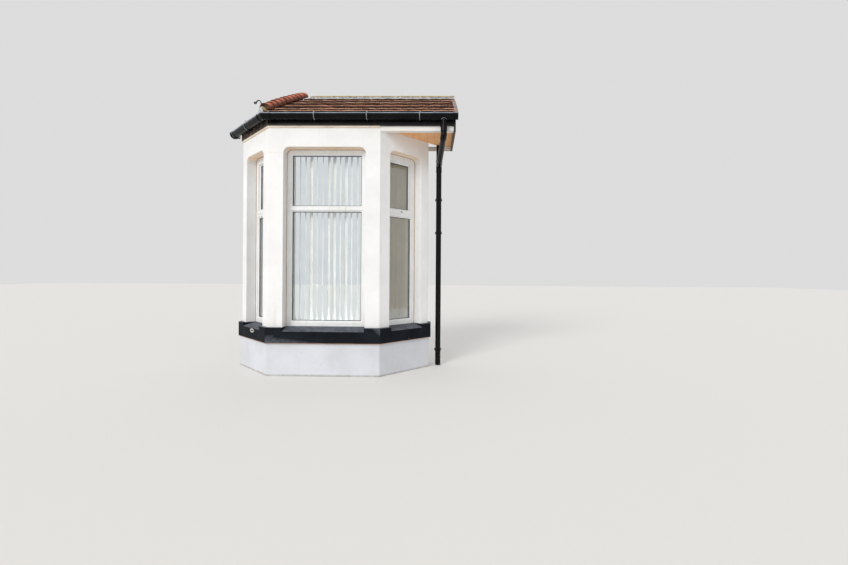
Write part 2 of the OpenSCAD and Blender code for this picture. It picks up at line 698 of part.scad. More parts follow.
// Gutter. Its profile is drawn about the middle of its half round.
module gutter_shape(r, top) {
    circle(r);
    translate([-r, 0]) square([2 * r, top]);
}
module channel(r, rim) difference() {
    intersection() {
        gutter_shape(r, rim);
        translate([-far, -far]) square([2 * far, far + rim]);
    }
    gutter_shape(r - plastic_t, rim + r);
}
module front_channel(x0, x1, r, rim) translate([x0, outlet_y, gutter_z]) rotate([90, 0, 90])
    linear_extrude(x1 - x0) channel(r, rim);
module left_channel(x0, x1, r, rim) {
    start = front_corner(-1, gutter_mid);
    translate([start.x, start.y, gutter_z]) rotate(-cant_angle) translate([-x1, 0, 0])
        rotate([90, 0, 90]) linear_extrude(x1 - x0) channel(r, rim);
}
mitre_foot = front_corner(-1, far / 4);
front_zone = [mitre_foot, [far, mitre_foot.y], [far, 0], front_corner(-1, -bay_d)];
left_len = norm(return_corner(-1, gutter_mid) - front_corner(-1, gutter_mid)) + gutter_past;
module stop_end() rotate([90, 0, 90]) linear_extrude(plastic_t) gutter_shape(gutter_r, gutter_side);
module outlet_bore() translate([outlet_x, outlet_y, 0]) cylinder(h = gutter_z, r = pipe_r - plastic_t);
module gutter_front() color("black") difference() {
    union() {
        intersection() {
            front_channel(-front_w, end_x + end_over, gutter_r, gutter_side);
            slab(0, far, front_zone);
        }
        translate([end_x + end_over - plastic_t, outlet_y, gutter_z]) stop_end();
    }
    outlet_bore();
}
left_zone = [mitre_foot, front_corner(-1, -bay_d), [-far, 0], [-far, -far]];
module gutter_left() color("black") {
    intersection() {
        left_channel(-far / 8, left_len, gutter_r, gutter_side);
        slab(0, far, left_zone);
    }
    start = front_corner(-1, gutter_mid);
    translate([start.x, start.y, gutter_z]) rotate(-cant_angle) translate([-left_len, 0, 0]) stop_end();
}
module gutter_angle() color("black") difference() {
    union() {
        intersection() {
            front_channel(-front_w, front_corner(-1, gutter_mid).x + angle_leg, clip_r, gutter_side);
            slab(0, far, front_zone);
        }
        intersection() {
            left_channel(-far / 8, angle_leg, clip_r, gutter_side);
            slab(0, far, left_zone);
        }
    }
    upright_cut(mitre_foot, 90 - cant_angle / 2, mitre_gap);
}
module gutter_brackets() color("black") {
    for (i = [0 : 2]) {
        x = bracket_x + i * bracket_pitch;
        front_channel(x - bracket_w / 2, x + bracket_w / 2, clip_r, gutter_side);
    }
    for (x = [left_len / 2, left_len - last_bracket])
        left_channel(x - bracket_w / 2, x + bracket_w / 2, clip_r, gutter_side);
}
module gutter_outlet() color("black") difference() {
    union() {
        front_channel(outlet_x - outlet_l / 2, outlet_x + outlet_l / 2, clip_r, gutter_side);
        difference() {
            translate([outlet_x, outlet_y, neck_z + seat_h]) cylinder(h = gutter_z - neck_z - seat_h, r = pipe_r);
            translate([outlet_x - outlet_l, outlet_y, gutter_z]) rotate([0, 90, 0])
                cylinder(h = 2 * outlet_l, r = gutter_r);
        }
    }
    outlet_bore();
}

// Downpipe
module tube(h, r) difference() {
    cylinder(h = h, r = r);
    translate([0, 0, -cut]) cylinder(h = h + 2 * cut, r = r - plastic_t);
}
// The pipe from the outlet back to the wall, drawn along X and turned to its heading.
module along_neck() translate([outlet_x, outlet_y, 0]) rotate(neck_heading) children();
module along_leg() along_neck() translate([leg_x, 0, leg_z]) rotate([0, 90 + neck_fall, 0]) children();
module neck_bend(r) along_neck() translate([neck_r, 0, neck_z]) rotate([90, 0, 0]) rotate([0, 0, 180])
    rotate_extrude(angle = neck_turn) translate([neck_r, 0]) circle(r);
module swan_neck() color("black") difference() {
    union() {
        along_neck() translate([0, 0, neck_z - collar_lap])
            cylinder(h = seat_h + socket_l + collar_lap, r = socket_r);
        neck_bend(pipe_r);
        along_leg() translate([0, 0, -collar_lap]) cylinder(h = socket_l, r = socket_r);
        along_leg() cylinder(h = leg_l - arm_l + socket_l, r = pipe_r);
    }
    along_neck() translate([0, 0, neck_z + seat_h]) cylinder(h = socket_l + cut, r = pipe_r);
}
module branch_arm(r) along_leg() translate([0, 0, leg_l - arm_l]) cylinder(h = arm_l, r = r);
module pipe_axis() translate([pipe_x, -pipe_y, 0]) children();
module pipe_branch() color("black") difference() {
    union() {
        pipe_axis() translate([0, 0, branch_z - branch_down]) cylinder(h = branch_h, r = socket_r);
        branch_arm(socket_r);
    }
    pipe_axis() cylinder(h = far, r = pipe_r);
    along_leg() cylinder(h = leg_l - arm_l + socket_l, r = pipe_r);
    branch_arm(pipe_r - plastic_t);
}
module downpipe() color("black") difference() {
    pipe_axis() tube(wall_top, pipe_r);
    branch_arm(pipe_r - plastic_t);
}
module pipe_brackets() color("black") for (z = [clip_z1, clip_z2, clip_z3]) difference() {
    translate([pipe_x, -pipe_y, z - clip_h / 2]) union() {
        cylinder(h = clip_h, r = pipe_r + clip_t);
        translate([-clip_arm / 2, 0, 0]) cube([clip_arm, pipe_y, clip_h]);
        translate([-clip_plate / 2, pipe_y - clip_t, 0]) cube([clip_plate, clip_t, clip_h]);
    }
    pipe_axis() cylinder(h = far, r = pipe_r);
}

plinth(front_band(plinth_out, -wall_t));  // plinth_front
plinth(side_band(-1, plinth_out, -wall_t));  // plinth_left
plinth(side_band(1, plinth_out, -wall_t));  // plinth_right
cill_front();
cill_side(-1);  // cill_left
cill_side(1);  // cill_right
wall_pier(-1);  // pier_wall_left
corner_pier(-1);  // pier_corner_left
corner_pier(1);  // pier_corner_right
wall_pier(1);  // pier_wall_right
lintel_front();
lintel_side(-1);  // lintel_left
lintel_side(1);  // lintel_right
at_front() window_frame(front_open, front_transom, true);  // window_frame_front
at_side(-1) window_frame(side_open, side_transom, false);  // window_frame_left
at_side(1) window_frame(side_open, side_transom, false);  // window_frame_right
toplight(-1);  // toplight_left
toplight(1);  // toplight_right
at_front() lights(front_open, front_transom, false);  // glass_front
at_side(-1) lights(side_open, side_transom, true);  // glass_left
at_side(1) lights(side_open, side_transom, true);  // glass_right
window_board();
at_front() blind(front_open);  // blind_front
at_side(-1) blind(side_open);  // blind_left
at_side(1) blind(side_open);  // blind_right
floor_slab();
floor_boards();
ceiling();
ceiling_joists();
wall_plate();
rafters();
hip_rafter();
wall_ledger();
battens();
tiles_front();
tiles_left();
hip_tiles();
wall_flashing();
fascia_front();
fascia_left();
verge_board();
end_board();
eaves_strip();
soffit_right();
soffit_trim();
eaves_beam();
gutter_front();
gutter_left();
gutter_angle();
gutter_brackets();
gutter_outlet();
swan_neck();
pipe_branch();
downpipe();
pipe_brackets();
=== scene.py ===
import math
import random

import bmesh
import bpy
from mathutils import Matrix, Vector, noise


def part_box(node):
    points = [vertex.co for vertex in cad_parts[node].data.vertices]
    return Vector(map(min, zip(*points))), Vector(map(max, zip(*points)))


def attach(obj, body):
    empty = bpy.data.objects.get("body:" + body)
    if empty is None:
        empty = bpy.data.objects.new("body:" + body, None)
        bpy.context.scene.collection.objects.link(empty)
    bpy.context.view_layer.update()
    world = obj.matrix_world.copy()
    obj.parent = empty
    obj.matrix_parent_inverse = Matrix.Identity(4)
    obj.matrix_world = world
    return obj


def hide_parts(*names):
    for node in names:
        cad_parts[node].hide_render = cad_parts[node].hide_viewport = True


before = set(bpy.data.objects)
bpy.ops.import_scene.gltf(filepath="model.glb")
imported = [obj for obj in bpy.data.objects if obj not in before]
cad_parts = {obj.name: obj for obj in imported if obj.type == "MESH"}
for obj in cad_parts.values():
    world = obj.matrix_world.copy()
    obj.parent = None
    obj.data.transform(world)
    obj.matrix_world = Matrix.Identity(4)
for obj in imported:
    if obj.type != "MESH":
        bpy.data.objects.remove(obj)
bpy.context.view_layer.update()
print("frame loaded")

# Main lines of the bay, in metres: the front face, the two cants and the levels
bay = {
    "frontHalf": 0.705,
    "depth": 0.792,
    "cantRun": 0.602,
    "returnDepth": 0.190,
    "wall": 0.255,
    "cornerCheek": 0.163,
    "wallCheek": 0.135,
    "frontOpening": 1.040,
    "reveal": 0.132,
    "pitch": math.radians(31),
    "leftPitch": math.radians(34),
    "eavesOver": 0.078,
    "eavesZ": 3.320,
    "gutterDrop": 0.047,
}
cantAngle = math.radians(45)
cantLength = bay["cantRun"] / math.cos(cantAngle)
sideOpening = cantLength - bay["cornerCheek"] - bay["wallCheek"]
halfWidth = bay["frontHalf"] + bay["cantRun"]
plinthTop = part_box("plinth_front")[1].z
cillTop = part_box("cill_front")[1].z
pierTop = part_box("pier_corner_left")[1].z
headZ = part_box("window_frame_front")[1].z
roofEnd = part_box("tiles_front")[1].x
mitre = math.tan(cantAngle / 2)
rimZ = bay["eavesZ"] - bay["gutterDrop"]   # the gutters' rim
here = Matrix.Identity(4)


def frontCorner(side, d):
    # corner between the front and a cant, moved outward by d
    return Vector((side * (bay["frontHalf"] + d * mitre), -(bay["depth"] + d), 0))


# The left slope is steeper, so its courses are shorter in plan and the hip leans to the left
leftShare = math.tan(bay["pitch"]) / math.tan(bay["leftPitch"])
roofRun = bay["depth"] + bay["eavesOver"]
hipFoot = frontCorner(-1, bay["eavesOver"])
hipHead = Vector((hipFoot.x + roofRun * (leftShare - math.cos(cantAngle)) / math.sin(cantAngle), 0, 0))
hipHeading = math.atan2(roofRun, hipHead.x - hipFoot.x)
hipNormal = Vector((math.sin(hipHeading), -math.cos(hipHeading), 0))   # towards the front slope
mitreNormal = Vector((math.cos(cantAngle / 2), -math.sin(cantAngle / 2), 0))


def sideMiddle(side):
    along = bay["cornerCheek"] + sideOpening / 2
    x = side * (bay["frontHalf"] + along * math.cos(cantAngle))
    return Vector((x, -bay["depth"] + along * math.sin(cantAngle), 0))


# Places of the three windows and two slopes: x runs along the face, y inward
windowPlace = {
    "front": Matrix.Translation((0, -bay["depth"], 0)),
    "left": Matrix.Translation(sideMiddle(-1)) @ Matrix.Rotation(-cantAngle, 4, "Z"),
    "right": Matrix.Translation(sideMiddle(1)) @ Matrix.Rotation(cantAngle, 4, "Z"),
}
windowWidth = {"front": bay["frontOpening"], "left": sideOpening, "right": sideOpening}
slopePlace = {
    "front": Matrix.Translation((0, -bay["depth"], 0)),
    "left": Matrix.Translation(frontCorner(-1, 0)) @ Matrix.Rotation(-cantAngle, 4, "Z"),
}


# Building helpers
def takeMesh(bm, name):
    mesh = bpy.data.meshes.new(name)
    bm.to_mesh(mesh)
    bm.free()
    return mesh


def setInScene(name, data):
    made = bpy.data.objects.new(name, data)
    bpy.context.scene.collection.objects.link(made)
    return made


def addPiece(name, bm, materials, stands=(), smooth=None):
    bm.normal_update()
    mesh = takeMesh(bm, name)
    for material in materials:
        mesh.materials.append(material)
    piece = setInScene(name, mesh)
    if smooth is not None:
        mesh.polygons.foreach_set("use_smooth", [True] * len(mesh.polygons))
        mesh.set_sharp_from_angle(angle=math.radians(smooth))
        piece.modifiers.new("flatFaces", "WEIGHTED_NORMAL").keep_sharp = True
    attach(piece, "root")
    if stands:
        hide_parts(*stands)
    return piece


def addBlock(bm, low, high, place=here, soft=0.0, steps=2):
    # a block between two corners, with softened edges, set in its place
    size = Vector(high) - Vector(low)
    middle = (Vector(high) + Vector(low)) / 2
    made = bmesh.ops.create_cube(bm, size=1)["verts"]
    bmesh.ops.scale(bm, vec=size, verts=made)
    if soft:
        edges = list({e for v in made for e in v.link_edges})
        rounded = bmesh.ops.bevel(bm, geom=edges, offset=soft, offset_type="OFFSET", segments=steps,
                                  profile=0.5, affect="EDGES", clamp_overlap=True, material=-1)
        made = list({v for f in rounded["faces"] for v in f.verts} | {v for v in made if v.is_valid})
    bmesh.ops.transform(bm, matrix=place @ Matrix.Translation(middle), verts=made)
    return made


def nodeCopy(names):
    bm = bmesh.new()
    for name in names:
        bm.from_mesh(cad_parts[name].data)
    bmesh.ops.remove_doubles(bm, verts=bm.verts, dist=0.00004)
    return bm


def tidyFaces(bm):
    bmesh.ops.dissolve_limit(bm, angle_limit=math.radians(0.7), verts=bm.verts, edges=bm.edges)


def softenEdges(bm, width, steps=2, sharper=25):
    edges = [e for e in bm.edges if len(e.link_faces) == 2 and e.calc_face_angle() > math.radians(sharper)]
    bmesh.ops.bevel(bm, geom=edges, offset=width, offset_type="OFFSET", segments=steps, profile=0.5,
                    affect="EDGES", clamp_overlap=True, material=-1)


def dressNodes(name, nodes, materials, width, steps=2, sharper=25, smooth=40):
    # a copy of the nodes with softened edges, in their stead
    bm = nodeCopy(nodes)
    tidyFaces(bm)
    softenEdges(bm, width, steps=steps, sharper=sharper)
    return addPiece(name, bm, materials, nodes, smooth=smooth)


def dropMitre(bm):
    # takes out the two inner faces where a front piece meets a side piece
    for side in (-1, 1):
        start = frontCorner(side, 0)
        normal = Vector((math.cos(cantAngle / 2) * side, math.sin(cantAngle / 2), 0))
        inner = [f for f in bm.faces
                 if all(abs((v.co - start).dot(normal)) < 0.0002 for v in f.verts)]
        bmesh.ops.delete(bm, geom=inner, context="FACES_ONLY")


def cutAway(bm, point, normal):
    # removes what lies on the normal's side of a plane, and closes the cut
    geom = bm.verts[:] + bm.edges[:] + bm.faces[:]
    bmesh.ops.bisect_plane(bm, geom=geom, dist=0.000001, plane_co=point, plane_no=normal, clear_outer=True)
    bmesh.ops.holes_fill(bm, edges=[e for e in bm.edges if e.is_boundary], sides=0)


def onlyVerts(geom):
    return [v for v in geom if isinstance(v, bmesh.types.BMVert)]


def addDisc(bm, place, radius, depth, segments, foot=None):
    # a capped round, or a cone where its two radii differ
    bmesh.ops.create_cone(bm, cap_ends=True, segments=segments, radius1=radius if foot is None else foot,
                          radius2=radius, depth=depth, matrix=place)


def closeUp(bm):
    # joins the seams and turns every separate shell outward
    bmesh.ops.remove_doubles(bm, verts=bm.verts, dist=0.00002)
    bmesh.ops.recalc_face_normals(bm, faces=bm.faces)
    left = set(bm.faces)
    while left:
        shell = [left.pop()]
        for face in shell:
            for edge in face.edges:
                for other in edge.link_faces:
                    if other in left:
                        left.discard(other)
                        shell.append(other)
        middle = shell[0].calc_center_median()
        inside = sum((face.calc_center_median() - middle).dot(face.normal) * face.calc_area()
                     for face in shell)
        if inside < 0:
            bmesh.ops.reverse_faces(bm, faces=shell)


def addPart(bm, part, place=here):
    # sets a part in its place and adds it to the piece
    bmesh.ops.transform(part, matrix=place, verts=part.verts)
    mesh = takeMesh(part, "part")
    bm.from_mesh(mesh)
    bpy.data.meshes.remove(mesh)


def addTube(bm, points, radius, sides=8, closed=False):
    # a round bar through the points, made as a curve and then a mesh
    curve = bpy.data.curves.new("tube", "CURVE")
    curve.dimensions = "3D"
    curve.bevel_depth = radius
    curve.bevel_resolution = max(0, sides // 4 - 1)
    curve.use_fill_caps = True
    spline = curve.splines.new("POLY")
    spline.points.add(len(points) - 1)
    for point, place in zip(spline.points, points):
        point.co = (*place, 1)
    spline.use_cyclic_u = closed
    holder = setInScene("tube", curve)
    bpy.context.view_layer.update()
    mesh = holder.evaluated_get(bpy.context.evaluated_depsgraph_get()).to_mesh()
    part = bmesh.new()
    part.from_mesh(mesh)
    closeUp(part)
    addPart(bm, part)
    holder.to_mesh_clear()
    bpy.data.objects.remove(holder)
    bpy.data.curves.remove(curve)


# Material helpers
def tint(red, green, blue):
    # a colour as a screen shows it, 0 to 255, made linear
    linear = (((c / 255 + 0.055) / 1.055) ** 2.4 if c > 10 else c / 3294.6 for c in (red, green, blue))
    return tuple(linear) + (1,)


def darker(colour, share):
    return tuple(c * share for c in colour[:3]) + (1,)


def startMaterial(name, roughness, metallic=0.0, specular=0.5):
    material = bpy.data.materials.new(name)
    material.use_nodes = True
    tree = material.node_tree
    shader = tree.nodes["Principled BSDF"]
    shader.inputs["Roughness"].default_value = roughness
    shader.inputs["Metallic"].default_value = metallic
    shader.inputs["Specular IOR Level"].default_value = specular
    coords = tree.nodes.new("ShaderNodeTexCoord").outputs["Object"]
    return material, tree, shader, coords


def addNode(tree, kind, inputs, output=0, **settings):
    # a node with its settings, each input linked or given its value; gives back one of its outputs
    node = tree.nodes.new("ShaderNode" + kind)
    for name, value in settings.items():
        setattr(node, name, value)
    for key, value in inputs.items():
        if isinstance(value, bpy.types.NodeSocket):
            tree.links.new(value, node.inputs[key])
        else:
            node.inputs[key].default_value = value
    return node.outputs[output]


def addNoise(tree, coords, scale, stretch=(1, 1, 1), detail=4, rough=0.55):
    stretched = addNode(tree, "Mapping", {"Vector": coords, "Scale": stretch}, vector_type="TEXTURE")
    return addNode(tree, "TexNoise", {"Vector": stretched, "Scale": scale, "Detail": detail,
                                      "Roughness": rough})


def addRange(tree, value, low, high, newLow=0.0, newHigh=1.0):
    return addNode(tree, "MapRange", {"Value": value, "From Min": low, "From Max": high,
                                      "To Min": newLow, "To Max": newHigh}, "Result")


def addMath(tree, operation, first, second):
    return addNode(tree, "Math", {0: first, 1: second}, operation=operation)


def times(tree, first, second):
    return addMath(tree, "MULTIPLY", first, second)


def addMix(tree, factor, first, second):
    # sockets 6, 7 and 2 are the colours of a colour mix
    return addNode(tree, "Mix", {0: factor, 6: first, 7: second}, 2, data_type="RGBA")


def blend(tree, value, low, high, first, second, most=1.0):
    # from one colour towards another as the value goes from low to high
    return addMix(tree, addRange(tree, value, low, high, 0, most), first, second)


def addRamp(tree, value, stops):
    node = tree.nodes.new("ShaderNodeValToRGB")
    ramp = node.color_ramp
    ramp.elements[0].position, ramp.elements[0].color = stops[0]
    ramp.elements[1].position, ramp.elements[1].color = stops[-1]
    for place, colour in stops[1:-1]:
        ramp.elements.new(place).color = colour
    tree.links.new(value, node.inputs["Fac"])
    return node.outputs["Color"]


def takeZ(tree, vector):
    return addNode(tree, "SeparateXYZ", {"Vector": vector}, 2)


def faceUp(tree):
    # how far the surface looks up: 1 up, 0 level, -1 down
    return takeZ(tree, tree.nodes.new("ShaderNodeNewGeometry").outputs["Normal"])


def readFace(tree, name):
    # a number that each face of the mesh carries
    return addNode(tree, "Attribute", {}, "Fac", attribute_name=name)


def paint(tree, shader, colour, rough=None):
    tree.links.new(colour, shader.inputs["Base Color"])
    if rough:
        tree.links.new(rough, shader.inputs["Roughness"])


def addBump(tree, shader, height, distance, below=None):
    inputs = {"Strength": 1.0, "Distance": distance, "Height": height}
    if below:
        inputs["Normal"] = below
    bump = addNode(tree, "Bump", inputs)
    tree.links.new(bump, shader.inputs["Normal"])
    return bump


# Camera, light and stage
view = {
    "place": (1.3469, -5.8922, 1.2993),
    "yaw": 0.0161,
    "roll": 0.0065,
    "focalPixels": 406.56,
    "downPixels": 8.916,
    "imageWidth": 848,
    "sunStrength": 1.45,
    "sunTurn": (62, 0, -30),
    "sunSpread": 25,
    "sunColour": (1.0, 0.985, 0.965),
    "skyStrength": 0.74,
    "skyColour": (0.97, 0.985, 1.0, 1),
    "backdrop": (0.72, 0.72, 0.72, 1),
    "floorColour": (0.84, 0.82, 0.79, 1),
    "floorDrop": 0.0006,
}
cameraData = bpy.data.cameras.new("photoCamera")
cameraData.sensor_width = 36
cameraData.lens = view["focalPixels"] / view["imageWidth"] * 36
cameraData.shift_y = -view["downPixels"] / view["imageWidth"]
cameraData.clip_end = 100
camera = setInScene("photoCamera", cameraData)
camera.matrix_world = (Matrix.Translation(view["place"]) @ Matrix.Rotation(view["yaw"], 4, "Z")
                       @ Matrix.Rotation(math.pi / 2, 4, "X") @ Matrix.Rotation(view["roll"], 4, "Z"))
bpy.context.scene.camera = camera
bpy.context.scene.view_settings.view_transform = "Standard"

sunData = bpy.data.lights.new("softSun", "SUN")
sunData.energy = view["sunStrength"]
sunData.angle = math.radians(view["sunSpread"])
sunData.color = view["sunColour"]
sun = setInScene("softSun", sunData)
sun.rotation_euler = [math.radians(a) for a in view["sunTurn"]]

# the sky lights the bay, and the camera, mirrors and glass see a plain backdrop in its stead
world = bpy.data.worlds.new("studio")
bpy.context.scene.world = world
world.use_nodes = True
skyTree = world.node_tree
skyTree.nodes.clear()
skyLight = addNode(skyTree, "Background", {"Color": view["skyColour"], "Strength": view["skyStrength"]})
skySeen = addNode(skyTree, "Background", {"Color": view["backdrop"]})
rays = skyTree.nodes.new("ShaderNodeLightPath").outputs
seen = addMath(skyTree, "MAXIMUM", rays["Is Camera Ray"], rays["Is Glossy Ray"])
seen = addMath(skyTree, "MAXIMUM", seen, rays["Is Transmission Ray"])
skyMix = addNode(skyTree, "MixShader", {0: seen, 1: skyLight, 2: skySeen})
skyOut = skyTree.nodes.new("ShaderNodeOutputWorld")
skyTree.links.new(skyMix, skyOut.inputs["Surface"])

floorMaterial, tree, shader, coords = startMaterial("studioFloor", 0.8)
shader.inputs["Base Color"].default_value = view["floorColour"]
bm = bmesh.new()
bmesh.ops.create_grid(bm, x_segments=2, y_segments=2, size=40,
                      matrix=Matrix.Translation((0, 0, -view["floorDrop"])))
floorMesh = takeMesh(bm, "studioFloor")
floorMesh.materials.append(floorMaterial)
studioFloor = setInScene("studioFloor", floorMesh)
print("camera, light and floor set")

# Materials
def renderFinish(name, clean, worn, stipple, dirt, relief):
    # white masonry paint on render: soft hollows, a roller's stipple, a mottled darkening in the lowest 30
    # mm, and downward faces painted warm and lighter as painted bounce light from below
    material, tree, shader, coords = startMaterial(name, 0.72, specular=0.3)
    patch = addNoise(tree, coords, 1.7, detail=6, rough=0.62)
    base = blend(tree, patch, 0.42, 0.72, clean, worn)
    runs = addNoise(tree, coords, 9, stretch=(1, 1, 9), detail=5)
    streaked = blend(tree, runs, 0.60, 0.80, base, tint(214, 210, 204), most=0.55)
    specks = addNoise(tree, coords, 55, detail=2, rough=0.4)
    speckled = blend(tree, specks, 0.775, 0.79, streaked, tint(96, 88, 80), most=dirt)
    # the lowest 30 mm is darkened towards grey brown with a mottle
    low = addRange(tree, takeZ(tree, coords), 0.030, 0.0, 0, 0.8)
    baseMottle = addNoise(tree, coords, 13, detail=7, rough=0.7)
    baseDarkening = times(tree, low, addRange(tree, baseMottle, 0.3, 0.6, 0.25, 1))
    baseDarkened = addMix(tree, baseDarkening, speckled, tint(128, 118, 106))
    # painted bounce light: faces that look down are mixed towards a warm cream
    paintedBounceUnder = times(tree, addRange(tree, faceUp(tree), -0.3, -0.9), addRange(tree, patch, 0.3, 0.7, 0.5, 1))
    grain = addNoise(tree, coords, stipple, detail=6, rough=0.72)
    paint(tree, shader, addMix(tree, paintedBounceUnder, baseDarkened, tint(252, 222, 188)),
          addRange(tree, grain, 0.3, 0.7, 0.62, 0.85))
    wavy = addBump(tree, shader, addNoise(tree, coords, 14, detail=3), 0.004)
    addBump(tree, shader, grain, relief, below=wavy)
    return material


def cillFinish():
    # near-black masonry paint on stone: brushed, chalking on top, with a few chips to the old white
    material, tree, shader, coords = startMaterial("cillPaint", 0.6, specular=0.07)
    cloud = addNoise(tree, coords, 5, detail=6, rough=0.6)
    base = blend(tree, cloud, 0.35, 0.7, tint(17, 20, 25), tint(28, 32, 39))
    bloom = addNoise(tree, coords, 18, detail=6)
    chalk = times(tree, addRange(tree, faceUp(tree), 0.5, 0.95), addRange(tree, bloom, 0.3, 0.7, 0.35, 1))
    dusty = addMix(tree, chalk, base, tint(110, 114, 123))
    chips = addRange(tree, addNoise(tree, coords, 31, detail=3, rough=0.5), 0.745, 0.76)
    worn = addMix(tree, chips, dusty, tint(172, 170, 168))
    low = addRange(tree, takeZ(tree, coords), plinthTop + 0.008, plinthTop + 0.004, 0, 0.85)
    bare = times(tree, low, addRange(tree, cloud, 0.3, 0.6, 0.4, 1))
    stone = addNoise(tree, coords, 75, detail=6, rough=0.7)
    brush = addNoise(tree, coords, 60, stretch=(6, 6, 1), detail=3)
    paint(tree, shader, addMix(tree, bare, worn, tint(206, 158, 120)),
          addRange(tree, brush, 0.3, 0.7, 0.55, 0.68))
    both = addMath(tree, "ADD", stone, times(tree, brush, 0.6))
    addBump(tree, shader, addMath(tree, "SUBTRACT", both, chips), 0.0016)
    return material


def plasticFinish(name, fresh, aged, roughness, wave):
    # moulded plastic: a faint flow in the surface, dust in the hollows and a slight yellowing
    material, tree, shader, coords = startMaterial(name, roughness)
    base = blend(tree, addNoise(tree, coords, 3.1, detail=5), 0.35, 0.7, fresh, aged)
    runs = addNoise(tree, coords, 21, stretch=(1, 1, 7), detail=5, rough=0.6)
    paint(tree, shader, blend(tree, runs, 0.56, 0.8, base, tint(178, 172, 160), most=0.5),
          addRange(tree, runs, 0.3, 0.7, roughness * 0.8, roughness * 1.5))
    addBump(tree, shader, addNoise(tree, coords, wave, detail=3), 0.0004)
    return material


def blackFinish(name, roughness, dust, ridge, wave=0.0006, rimSheenAndDust=0.0, specular=0.24):
    # black plastic or gloss paint, with rain-washed dust and dull patches; where it faces up and just
    # under the gutters' rim it is mixed towards a bluish white, a painted sky reflection with some pale
    # dust
    material, tree, shader, coords = startMaterial(name, roughness, specular=specular)
    cloud = addNoise(tree, coords, 4.3, detail=6, rough=0.6)
    base = blend(tree, cloud, 0.35, 0.7, tint(8, 8, 9), tint(18, 17, 18))
    runs = addNoise(tree, coords, 26, stretch=(1, 1, 5), detail=6, rough=0.65)
    filmed = blend(tree, runs, 0.54, 0.80, base, tint(104, 99, 93), most=dust)
    # painted highlight: upward faces get a painted sky reflection with some pale dust, and a strip just
    # under the rim gets a painted highlight line
    upward = addRange(tree, faceUp(tree), 0.02, 0.40, 0, rimSheenAndDust)
    lip = addRange(tree, takeZ(tree, coords), rimZ - 0.013, rimZ - 0.008, 0, rimSheenAndDust * 0.5)
    paintedSheenAndDust = times(tree, addMath(tree, "MAXIMUM", upward, lip), addRange(tree, cloud, 0.3, 0.6, 0.5, 1))
    paint(tree, shader, addMix(tree, paintedSheenAndDust, filmed, tint(208, 218, 234)),
          addRange(tree, runs, 0.35, 0.7, roughness, roughness + 0.12))
    addBump(tree, shader, addNoise(tree, coords, ridge, detail=2), wave)
    return material


def timberFinish(name, light, dark, turn=0, roughness=0.7):
    # sawn or planed softwood: the grain runs along y after the turn, with knots and a tone for each board
    material, tree, shader, coords = startMaterial(name, roughness)
    turned = addNode(tree, "Mapping", {"Vector": coords, "Rotation": (0, 0, turn)})
    tone = readFace(tree, "tone")
    step = times(tree, tone, 37)
    offset = addNode(tree, "CombineXYZ", {0: step, 1: step, 2: step})
    board = addNode(tree, "VectorMath", {0: turned, 1: offset}, operation="ADD")
    grain = addNoise(tree, board, 46, stretch=(1, 16, 1), detail=6, rough=0.65)
    figure = addNoise(tree, board, 7, stretch=(1, 6, 1), detail=4)
    rings = addMath(tree, "ADD", times(tree, grain, 0.55), times(tree, figure, 0.45))
    wood = addRamp(tree, rings, [(0.34, dark), (0.5, light), (0.68, dark)])
    knots = addNoise(tree, board, 9, stretch=(1, 2.2, 1), detail=1)
    marked = blend(tree, knots, 0.80, 0.84, wood, darker(dark, 0.35))
    paint(tree, shader, blend(tree, tone, 0, 1, marked, dark, most=0.35),
          addRange(tree, grain, 0.3, 0.7, roughness * 0.85, min(1, roughness * 1.2)))
    addBump(tree, shader, grain, 0.0009)
    return material


def clayFinish(name, bodies, soot, lichen, flankShade):
    # weathered clay: each tile has its own tone, with pale lichen and a sanded face; the lower part of
    # each foot is painted near black as painted shade with soot, and faces turned from the sky are
    # darkened as painted shade
    material, tree, shader, coords = startMaterial(name, 0.88, specular=0.25)
    body = addRamp(tree, readFace(tree, "tone"), bodies)
    cloud = addNoise(tree, coords, 11, detail=7, rough=0.68)
    mottled = blend(tree, cloud, 0.40, 0.72, body, soot, most=0.8)
    fine = addNoise(tree, coords, 95, detail=5, rough=0.7)
    flecked = blend(tree, fine, 0.52, 0.75, mottled, tint(206, 156, 124), most=0.45)
    spots = addNoise(tree, coords, 33, detail=4, rough=0.6)
    grown = blend(tree, spots, 0.64, 0.71, flecked, tint(186, 180, 158), most=lichen)
    foot = readFace(tree, "foot")
    worn = times(tree, addRange(tree, foot, 0, 1), addRange(tree, cloud, 0.64, 0.46, 0.3, 1))
    pale = addMix(tree, worn, grown, tint(250, 200, 168))
    # the lower part of each foot (foot = -1) is darkened near black: painted shade in the gap under the
    # tile above, with soot
    footShadeAndSoot = blend(tree, foot, -0.1, -0.6, pale, tint(34, 24, 22), most=0.9)
    # painted shade: faces that turn away from the sky are darkened towards brown by the flankShade amount
    paintedFlankShade = times(tree, addRange(tree, faceUp(tree), 0.78, 0.30, 0, flankShade),
                  addRange(tree, fine, 0.25, 0.6, 0.7, 1))
    paint(tree, shader, addMix(tree, paintedFlankShade, footShadeAndSoot, tint(84, 56, 46)))
    addBump(tree, shader, addMath(tree, "ADD", fine, times(tree, cloud, 1.5)), 0.0028)
    return material


def mortarFinish(name, pale, deep, grainScale, height):
    # a sanded body in two tones, with dark grains
    material, tree, shader, coords = startMaterial(name, 0.92, specular=0.2)
    cloud = addNoise(tree, coords, 12, detail=7, rough=0.7)
    sand = addNoise(tree, coords, grainScale, detail=5, rough=0.75)
    base = blend(tree, cloud, 0.35, 0.7, pale, deep)
    paint(tree, shader, blend(tree, sand, 0.55, 0.75, base, darker(deep, 0.5), most=0.5))
    addBump(tree, shader, addMath(tree, "ADD", sand, cloud), height)
    return material


